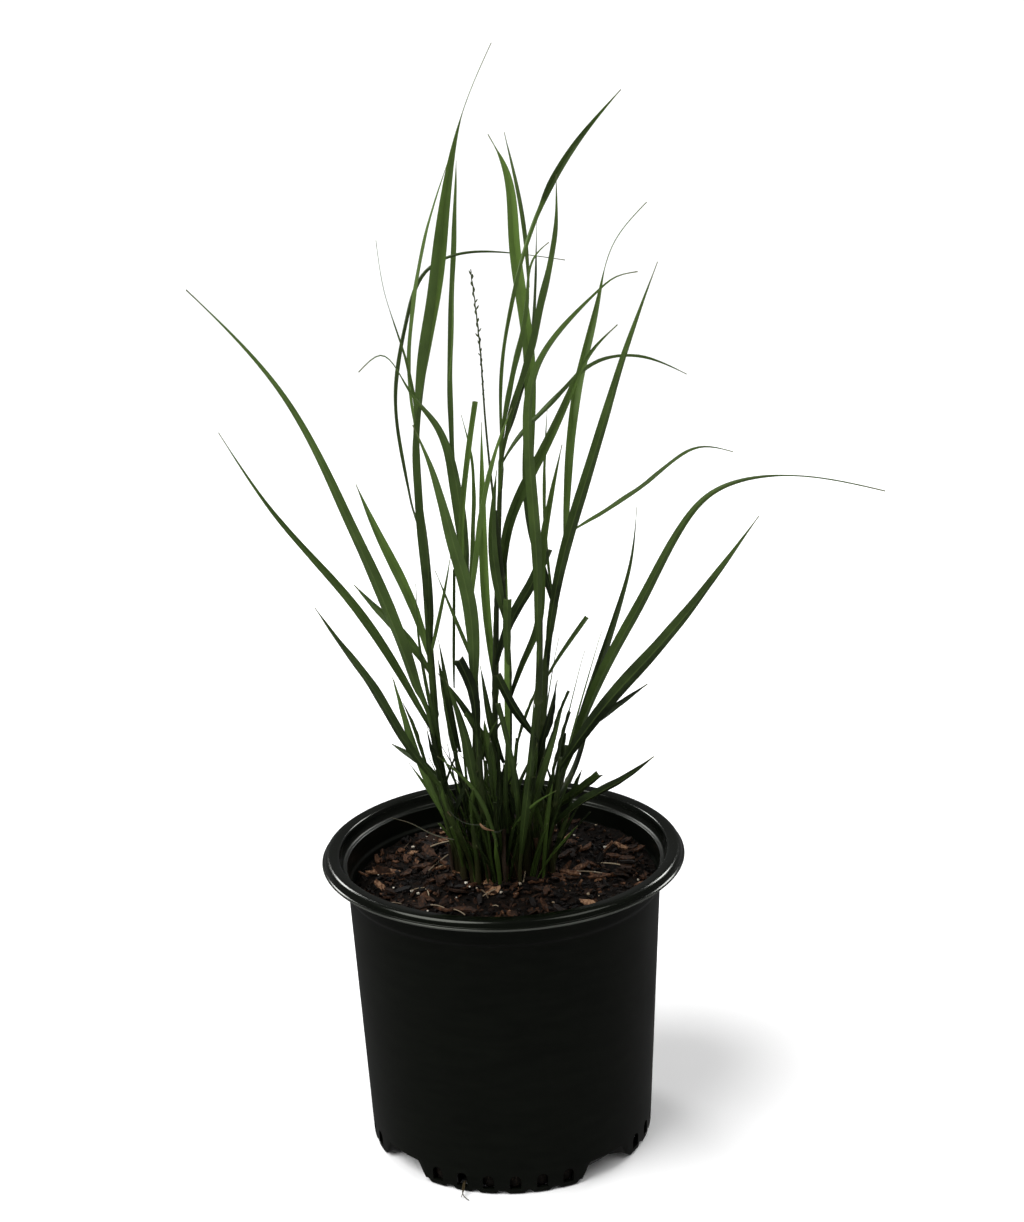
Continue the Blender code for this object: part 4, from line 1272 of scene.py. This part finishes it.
def make_old_sheaths(material):
    """Short brown sheaths and leaf stubs pressed round the feet of the stems."""
    draw = random.Random(5)
    bm = start_mesh()
    for stem in STEMS.values():
        for _ in range(draw.choice((1, 2, 2))):
            turn = draw.uniform(0.0, 360.0)
            height = draw.uniform(*OLD_SHEATH_HEIGHT)
            out = heading(turn)
            foot = Vector((*stem.route[0], CROWN_LEVEL - SUNK)) + out * (stem.foot * 1.25)
            route = rising(foot, out * draw.uniform(*OLD_SHEATH_LEAN), height, OLD_SHEATH_EARLY)
            add_ribbon(bm, route, draw.uniform(*OLD_SHEATH_WIDTH), draw.uniform(0.0, 1.0),
                       (turn, turn + OLD_SHEATH_TWIST), draw.random() < OLD_SHEATH_CUT, curl=1.0)
    add_leaves("old_sheaths", bm, material)


# Flower spike

def add_spikelet(bm, draw, spot, direction, size):
    """One pointed grain, from a small ball that is drawn out and narrowed to both ends."""
    grain = bmesh.ops.create_uvsphere(bm, u_segments=7, v_segments=6, radius=1.0,
                                      calc_uvs=True)["verts"]
    for vert in grain:
        x, y, z = (part * stretch for part, stretch in zip(vert.co, SPIKELET_STRETCH))
        taper = 1.0 - SPIKELET_TAPER * abs(vert.co.z)
        vert.co = Vector((x * taper, y * taper, z + SPIKELET_FOOT)) * size
    turn = direction.to_track_quat("Z", "Y").to_matrix()
    bmesh.ops.transform(bm, matrix=turn.to_4x4(), verts=grain)
    bmesh.ops.translate(bm, vec=spot, verts=grain)
    set_tone(bm, grain, draw.uniform(*SPIKELET_TONE))


def make_spike(material):
    """The stalk, and pointed spikelets pressed to it, left and right in turn."""
    places, directions = smooth_curve(SPIKE_ROUTE, SPIKE_STEPS)
    bm = start_mesh()

    def place(side, row):
        share = row / SPIKE_STEPS
        along = directions[row]
        wide = FRONT.cross(along).normalized()
        radius = between(STALK_RADII, share)
        sway = STALK_SWAY * math.sin(row * 1.25) * smooth_step((share - SPIKE_START) * 5.0)
        turn = math.pi * side
        return (places[row] + wide * (radius * math.cos(turn) + sway)
                + along.cross(wide) * (radius * math.sin(turn)))

    made = bend_grid(bm, STALK_SIDES, SPIKE_STEPS, place)
    set_tone(bm, made, STALK_TONE)
    close_tube(bm, made, STALK_SEAM)
    draw = random.Random(8)
    for index in range(SPIKELET_COUNT):
        share = SPIKE_START + (1.0 - SPIKE_START) * (index + 0.3) / SPIKELET_COUNT
        step = min(SPIKE_STEPS, round(share * SPIKE_STEPS))
        along = directions[step]
        aside = FRONT.cross(along).normalized() * (1.0 if index % 2 else -1.0)
        pressed, opened = SPIKELET_ANGLES
        open_out = pressed + opened * smooth_step((share - 0.55) * 6.0) * draw.uniform(0.0, 1.4)
        if draw.random() < SPREAD_SPIKELETS:
            open_out += SPREAD_ANGLE
        direction = (along + aside * open_out + FRONT * draw.uniform(-0.1, 0.3)).normalized()
        size = (draw.uniform(*SPIKELET_SIZE)
                + SPIKELET_GROWTH * smooth_step((share - 0.6) * 8.0) * draw.uniform(0.6, 1.2))
        spot = places[step] + aside * 0.35 - along * draw.uniform(0.2, 1.6)
        add_spikelet(bm, draw, spot, direction, size)
    bmesh.ops.recalc_face_normals(bm, faces=bm.faces)
    add_piece("flower_head", bm, material, ["flower_spike"])


# Loose bits on the mix

def chip_shapes(count, across, along):
    """Small torn flakes of unit size, as meshes to be scaled and scattered."""
    draw = random.Random(21)
    shapes = []
    for _ in range(count):
        bm = start_mesh()
        made = bmesh.ops.create_grid(bm, x_segments=along, y_segments=across, size=1.0)["verts"]
        bow = draw.uniform(*CHIP_BOW)
        point = draw.uniform(*CHIP_POINT)
        for vert in made:
            x, y = vert.co.xy
            narrow = 1.0 - point * abs(x) ** 1.5
            torn = [draw.uniform(-tear, tear) for tear in CHIP_TEAR]
            vert.co = (x + torn[0], y * narrow + torn[1], bow * x * x + torn[2])
        thicken(bm, CHIP_THICKNESS)
        shapes.append(new_mesh("chip", bm))
    return shapes


def scatter(bm, shape, matrix, tone):
    """Join one turned and placed copy of a shape to a bmesh."""
    copy = shape.copy()
    copy.transform(matrix)
    copy.attributes["tone"].data.foreach_set("value", [tone] * len(copy.vertices))
    bm.from_mesh(copy)
    bpy.data.meshes.remove(copy)


def lying(draw, x, y, lift, size, tilt):
    """A matrix that lays a unit shape on the mix at a random heading."""
    turn = Matrix.Rotation(draw.uniform(0.0, math.tau), 4, "Z")
    lean = (Matrix.Rotation(draw.gauss(0.0, tilt), 4, "X")
            @ Matrix.Rotation(draw.gauss(0.0, tilt), 4, "Y"))
    spot = Matrix.Translation((x, y, ground(x, y) + lift))
    return spot @ turn @ lean @ Matrix.Diagonal((*size, 1.0))


def in_pot(draw, rim):
    """A random place on the mix, even over its area."""
    radius = rim * math.sqrt(draw.random())
    turn = draw.uniform(0.0, math.tau)
    return radius * math.sin(turn), -radius * math.cos(turn)


def make_bark(material):
    """Many small bits, chips over them, and the light chips that stand out in the photograph."""
    draw = random.Random(31)
    big = chip_shapes(*BIG_CHIP_SHAPES)
    small = chip_shapes(*SMALL_CHIP_SHAPES)
    # Piece, count, shapes, half lengths, share of width, lift, tilt, tone and its spread
    layers = [("bark_chips", 230, big, (3.4, 8.6), 0.48, 0.9, 0.36, 0.50, 0.24),
              ("bark_bits", 1700, small, (1.0, 3.0), 0.55, 0.0, 0.5, 0.30, 0.24)]
    for name, count, shapes, lengths, width, lift, tilt, middle, tone_spread in layers:
        bm = start_mesh()
        for _ in range(count):
            half = draw.uniform(*lengths) * draw.uniform(0.7, 1.0)
            x, y = in_pot(draw, MIX_RIM - 1.0 - half)
            size = (half, half * width * draw.uniform(0.6, 1.2), draw.uniform(0.7, 1.5))
            tone = clamped(draw.gauss(middle, tone_spread), 0.0, LIGHTEST_BARK)
            place = lying(draw, x, y, lift + draw.uniform(-0.4, 1.6), size, tilt)
            scatter(bm, draw.choice(shapes), place, tone)
        add_piece(name, bm, material, smooth=False)
    bm = start_mesh()
    for x, y, angle, half, tone in MARKED_CHIPS:
        turn = Matrix.Rotation(math.radians(angle), 4, "Z")
        spot = Matrix.Translation((x, y, ground(x, y) + MARKED_CHIP_LIFT))
        size = Matrix.Diagonal((half * MARKED_CHIP_SIZE[0], half * MARKED_CHIP_SIZE[1], 1.1, 1.0))
        scatter(bm, big[len(bm.verts) % len(big)], spot @ turn @ size, tone)
    add_piece("light_chips", bm, material, smooth=False)


def make_crumbs(material):
    """White and yellowish crumbs, mostly small."""
    draw = random.Random(41)
    bm = start_mesh()
    places = [(x, y, MARKED_CRUMB_SIZE) for x, y in MARKED_CRUMBS]
    places += [(*in_pot(draw, MIX_RIM - 3.0), draw.uniform(*CRUMB_SIZE))
               for _ in range(CRUMB_COUNT)]
    for x, y, half in places:
        made = bmesh.ops.create_icosphere(bm, subdivisions=1, radius=half)["verts"]
        for vert in made:
            vert.co *= draw.uniform(0.75, 1.2)
            vert.co.z *= 0.75
        spot = (x, y, ground(x, y) + CRUMB_LIFT + 0.5 * half)
        bmesh.ops.translate(bm, vec=spot, verts=made)
        set_tone(bm, made, draw.random())
    add_piece("white_crumbs", bm, material)


def make_straws(material):
    """Short straws, each bent a little: the marked ones first, then random ones."""
    draw = random.Random(51)
    bm = start_mesh()
    routes = [(first, last, MARKED_STRAW_RADIUS) for first, last in MARKED_STRAWS]
    for _ in range(STRAW_COUNT):
        x, y = in_pot(draw, MIX_RIM - 12.0)
        turn = draw.uniform(0.0, math.tau)
        half = draw.uniform(*STRAW_HALF_LENGTH)
        dx, dy = half * math.sin(turn), half * math.cos(turn)
        rise = draw.uniform(-STRAW_RISE, STRAW_RISE)
        level = ground(x, y) + STRAW_LIFT
        routes.append(((x - dx, y - dy, level - rise), (x + dx, y + dy, level + rise),
                       STRAW_RADIUS))
    for first, last, radius in routes:
        middle = (Vector(first) + Vector(last)) / 2.0 + STRAW_BEND
        add_thread(bm, [first, tuple(middle), last], STRAW_STEPS, (radius, radius),
                   Vector((0, 0, 1)), draw.random())
    bmesh.ops.recalc_face_normals(bm, faces=bm.faces)
    add_piece("straw_bits", bm, material)


def make_root_plugs(material):
    """Roots and mix seen in the drain slots; the open slot has none."""
    draw = random.Random(61)
    bm = start_mesh()
    for angle in slot_angles():
        if apart(angle, OPEN_SLOT) < 1.0:
            continue
        made = bmesh.ops.create_icosphere(bm, subdivisions=3, radius=1.0)["verts"]
        deep = draw.uniform(*PLUG_DEPTH)
        for vert in made:
            x, y, z = vert.co
            bump = 1.0 + 0.16 * noise.noise(vert.co * 2.2 + Vector((angle, 0, 0)))
            vert.co = Vector((x * PLUG_HALF_WIDTH, y * deep, z * PLUG_HALF_HEIGHT)) * bump
        spot = (0, -(FOOT_RADIUS - WALL - deep - PLUG_INSET), PLUG_MIDDLE)
        bmesh.ops.translate(bm, vec=spot, verts=made)
        turn_to(bm, made, angle)
        set_tone(bm, made, draw.uniform(*PLUG_TONE))
    add_piece("root_plugs", bm, material)


def make_root_tip(material):
    """The roots that hang out of the open slot."""
    bm = start_mesh()
    for route in ROOT_THREADS:
        add_thread(bm, route, ROOT_STEPS, ROOT_RADII, ROOT_ASIDE, ROOT_TONE)
    bmesh.ops.recalc_face_normals(bm, faces=bm.faces)
    add_piece("root_tip", bm, material)


# Stage

def make_floor():
    """A pale floor that curves up far from the pot, and that the dark plastic doesn't mirror."""
    outline = [(0.0, 0.0), (FLOOR_REACH, 0.0)]
    for step in range(1, FLOOR_RISE_STEPS + 1):
        turn = math.radians(FLOOR_RISE) * step / FLOOR_RISE_STEPS
        outline.append((FLOOR_REACH + FLOOR_CURVE * math.sin(turn),
                        FLOOR_CURVE * (1.0 - math.cos(turn))))
    bm = spun([(radius, height - FLOOR_DROP) for radius, height in outline], FLOOR_STEPS)
    mesh = new_mesh("floor", bm)
    mesh.shade_smooth()
    look = Look("pale_floor", 0.9, 0.1)
    look.shader.inputs["Base Color"].default_value = FLOOR_COLOUR
    mesh.materials.append(look.material)
    floor = new_object("floor", mesh)
    floor.visible_glossy = False


def make_camera():
    """The photograph's camera: in front, looking down a little, and rolled a little."""
    tilt = math.radians(CAMERA_ELEVATION)
    roll = math.radians(CAMERA_ROLL)
    right = Vector((1.0, 0.0, 0.0))
    up = Vector((0.0, math.sin(tilt), math.cos(tilt)))
    back = Vector((0.0, -math.cos(tilt), math.sin(tilt)))
    side = right * math.cos(roll) + up * math.sin(roll)
    top = up * math.cos(roll) - right * math.sin(roll)
    data = bpy.data.cameras.new("camera")
    data.sensor_fit = "VERTICAL"
    data.sensor_height = SENSOR_HEIGHT
    data.lens = CAMERA_LENS
    data.clip_end = 200.0
    camera = new_object("camera", data)
    turn = Matrix((side, top, back)).transposed()
    spot = (Vector(CAMERA_TARGET) + back * CAMERA_DISTANCE) * MM
    camera.matrix_world = Matrix.Translation(spot) @ turn.to_4x4()
    bpy.context.scene.camera = camera


def add_light(name, kind, aim, power, place=(0, 0, 0)):
    """A lamp that shines along its aim."""
    data = bpy.data.lights.new(name, kind)
    data.energy = power
    lamp = new_object(name, data)
    lamp.location = place
    lamp.rotation_euler = aim.to_track_quat("-Z", "Y").to_euler()
    return data


def make_light():
    """Even studio light: a dim white room, a very soft sun and three panels."""
    world = bpy.data.worlds.new("studio")
    world.use_nodes = True
    background = world.node_tree.nodes["Background"]
    background.inputs["Color"].default_value = (1.0, 1.0, 1.0, 1.0)
    background.inputs["Strength"].default_value = ROOM_LIGHT
    bpy.context.scene.world = world
    sun = add_light("softened_sun", "SUN", SUN_AIM, SUN_POWER)
    sun.angle = math.radians(SUN_SPREAD)
    for name, place, size, power in PANELS:
        panel = add_light(name, "AREA", PANEL_TARGET - Vector(place), power, place)
        panel.shape = "RECTANGLE"
        panel.size, panel.size_y = size
    bpy.context.scene.view_settings.view_transform = "Standard"


def main():
    make_camera()
    make_light()
    make_floor()
    make_pot(pot_plastic())
    make_mix(mix_surface())
    stem_look = stem_surface()
    for index, (name, stem) in enumerate(STEMS.items()):
        make_stem(name, stem, index, stem_look)
    blade_look = blade_surface()
    for (name, leaf), tones in zip(LEAVES.items(), BLADE_TONES_WITH_PAINTED_LIGHT):
        make_blade(name, leaf, tones, blade_look)
    make_side_shoots(stem_look, blade_look)
    make_ribbons("small_leaves", SMALL_LEAVES, blade_look)
    straw_look = crumb_surface("old_straw", (0.010, 0.006, 0.003), (0.085, 0.048, 0.024), 0.75)
    make_tangle(blade_look, straw_look)
    make_old_sheaths(straw_look)
    strand_look = crumb_surface("dead_strand", (0.022, 0.030, 0.017), (0.24, 0.13, 0.07), 0.7)
    make_ribbons("dead_strands", DEAD_STRANDS, strand_look)
    make_spike(crumb_surface("seed_husk", (0.007, 0.016, 0.003), (0.055, 0.075, 0.02), 0.8))
    make_bark(bark_surface())
    make_crumbs(crumb_surface("white_crumb", (0.12, 0.08, 0.04), (0.5, 0.47, 0.4), 0.8))
    make_straws(crumb_surface("straw", (0.05, 0.032, 0.018), (0.30, 0.24, 0.16), 0.7))
    root_look = crumb_surface("roots", (0.004, 0.0025, 0.0015), (0.07, 0.05, 0.018), 0.9)
    make_root_plugs(root_look)
    make_root_tip(root_look)


main()
